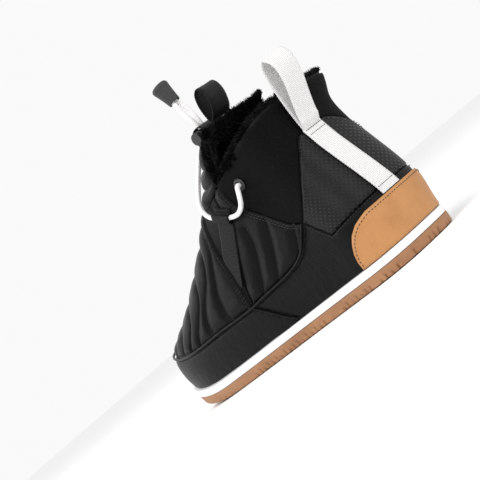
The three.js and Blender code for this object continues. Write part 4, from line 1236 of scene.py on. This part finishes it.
def ring_solid(name, rings, material, node, under=None):
    """Closed solid through rings of points, before the foot shape; under gives the tread's depth."""
    n = len(rings[0])
    faces = grid_faces(len(rings), n, caps=True)
    points = np.concatenate(rings)
    if under is not None:
        del faces[-2]
        loop = rings[0][:, :2]
        low, high = loop.min(0), loop.max(0)
        x, y = np.meshgrid(np.arange(low[0], high[0], 1.5), np.arange(low[1], high[1], 1.5))
        grid = np.stack([x.ravel(), y.ravel()], -1)
        grid = grid[inside(grid, loop)]
        near, _ = nearest(np.c_[grid, np.zeros(len(grid))], np.c_[loop, np.zeros(n)])
        grid = grid[near > 1.0]
        flat = np.concatenate([loop, grid])
        sides = [(i, (i + 1) % n) for i in range(n)]
        made = delaunay_2d_cdt([Vector(p) for p in flat], sides, [], 1, 1e-4)
        base = np.array([tuple(point) for point in made[0]])
        near, at = nearest(np.c_[base, np.zeros(len(base))], np.c_[loop, np.zeros(n)])
        depth = np.where(near < 1e-3, rings[0][at, 2], under(base[:, 0], base[:, 1], near))
        start = len(points)
        points = np.concatenate([points, np.c_[base, depth]])
        faces += [tuple(i + start for i in f[::-1]) for f in made[2]]
    piece = new_mesh(name, foot_shape(points), faces, points[:, :2], material, [node], weld=1e-6)
    piece.data.set_sharp_from_angle(angle=math.radians(50))
    return piece


OUTSOLE_TOP = 7.7
LEDGE, SLIT_PITCH, LUG_PITCH = 2.4, 5.4, 7.0
edge = footprint(LEDGE)
edge_travel = travelled(edge)
rough = np.interp(edge[:, 1], [-150, 20, 75, 110], [1.0, 1.0, 0.45, 0.12])
slit = (np.abs((edge_travel / SLIT_PITCH) % 1 - 0.5) > 0.42).astype(float)
tall_slit = slit * ((edge_travel / SLIT_PITCH).astype(int) % 2 == 0)
nicks = np.array([noise.noise(Vector((t * 0.35, 1.5, 2))) for t in edge_travel])
rings = []
for z, ledge in ((0.0, LEDGE - 1.5), (0.5, LEDGE - 0.9), (1.2, LEDGE - 0.7), (2.0, LEDGE - 0.6),
                 (2.8, LEDGE - 0.5), (3.6, LEDGE - 0.4), (4.6, LEDGE - 0.25), (6.0, LEDGE - 0.1),
                 (7.2, LEDGE), (OUTSOLE_TOP, LEDGE - 0.3)):
    cut = rough * (slit * (z < 2.4) + tall_slit * (2.4 <= z < 4.2)) * 1.3
    uneven = rough * nicks * 0.8 * max(0, 1 - z / 3)
    low = np.maximum(0, rough * (0.9 * slit + 0.5 * np.maximum(0, nicks))) if z == 0 else 0
    rings.append(sole_ring(ledge - cut + uneven, z + low))


def tread(x, y, near):
    """Chevron lugs with grooves between them, and a plain rim."""
    row = (y + 0.35 * np.abs(x)) / LUG_PITCH
    column = ((x + 3.5 * (np.floor(row) % 2)) / 9.0) % 1
    groove = (row % 1 < 0.24) | (column < 0.17)
    waist = np.exp(-(((y + 28) / 24) ** 2))
    return np.where(near < 4, 0.3, np.where(groove, 2.3, 0.0) + 0.4 * waist)


ring_solid("gum_outsole", rings, gum, "outsole", under=tread)
rings = [sole_ring(ledge, z) for z, ledge in ((8.0, 2.3), (8.2, 2.75), (9.2, 2.95), (10.8, 3.0),
                                             (12.2, 2.85), (13.1, 2.45), (13.55, 1.8), (SOLE_TOP, 0.9))]
ring_solid("white_midsole", rings, foam, "midsole")
rings = [sole_ring(ledge, z) for z, ledge in ((16.3, -10.4), (18.6, -9.6), (19.7, -10.2), (20.0, -11.4))]
ring_solid("fur_footbed", rings, fur, "footbed")

# ------------------------------------------------------------------ CAD parts that stay as they are
kept = {"cord_lock_body": plastic, "cord_lock_plunger": plastic, "cord_lock_spring": steel,
        "eyelet_left": plastic, "eyelet_right": plastic, "insole_board": board}
for name, material in kept.items():
    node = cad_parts[name]
    node.data.materials.clear()
    node.data.materials.append(material)
    join_up = node.modifiers.new("weld", "WELD")
    join_up.merge_threshold = 1e-5
    if name.startswith(("cord_lock", "eyelet")) and name != "cord_lock_spring":
        round_off = node.modifiers.new("bevel", "BEVEL")
        round_off.width = 0.00025
        round_off.segments = 2
        round_off.limit_method = "ANGLE"
        round_off.angle_limit = math.radians(35)
    smooth = node.modifiers.new("normals", "WEIGHTED_NORMAL")
    smooth.keep_sharp = True
    node.data.shade_smooth()

# ------------------------------------------------------------------ stage
floor_mesh = bpy.data.meshes.new("floor")
floor_corners = [(x, y, -0.0005) for x, y in ((-6, -6), (6, -6), (6, 6), (-6, 6))]
floor_mesh.from_pydata(floor_corners, [], [(0, 1, 2, 3)])
floor = bpy.data.objects.new("floor", floor_mesh)
bpy.context.scene.collection.objects.link(floor)
floor_finish = Surface("stage_floor", (0.92, 0.92, 0.92), 0.9, Specular_IOR_Level=0.1)
floor.data.materials.append(floor_finish.material)
floor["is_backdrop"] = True
world = bpy.data.worlds.new("studio")
world.use_nodes = True
background = world.node_tree.nodes["Background"]
background.inputs["Color"].default_value = (1, 1, 1, 1)
background.inputs["Strength"].default_value = 0.95
bpy.context.scene.world = world


def softbox(name, place, size, power, target=(0, 0, 0.07)):
    light = bpy.data.lights.new(name, "AREA")
    light.shape = "RECTANGLE"
    light.size, light.size_y = size
    light.energy = power
    lamp = bpy.data.objects.new(name, light)
    bpy.context.scene.collection.objects.link(lamp)
    lamp.location = place
    lamp.rotation_euler = (Vector(target) - Vector(place)).to_track_quat("-Z", "Y").to_euler()


softbox("key_light", (-1.3, -0.5, 1.3), (0.9, 0.6), 16)
softbox("back_light", (0.2, -1.5, 0.9), (0.6, 0.6), 7)
softbox("front_light", (-0.8, 1.4, 0.9), (0.7, 0.7), 8)
bpy.context.scene.view_settings.view_transform = "Standard"

low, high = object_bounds()
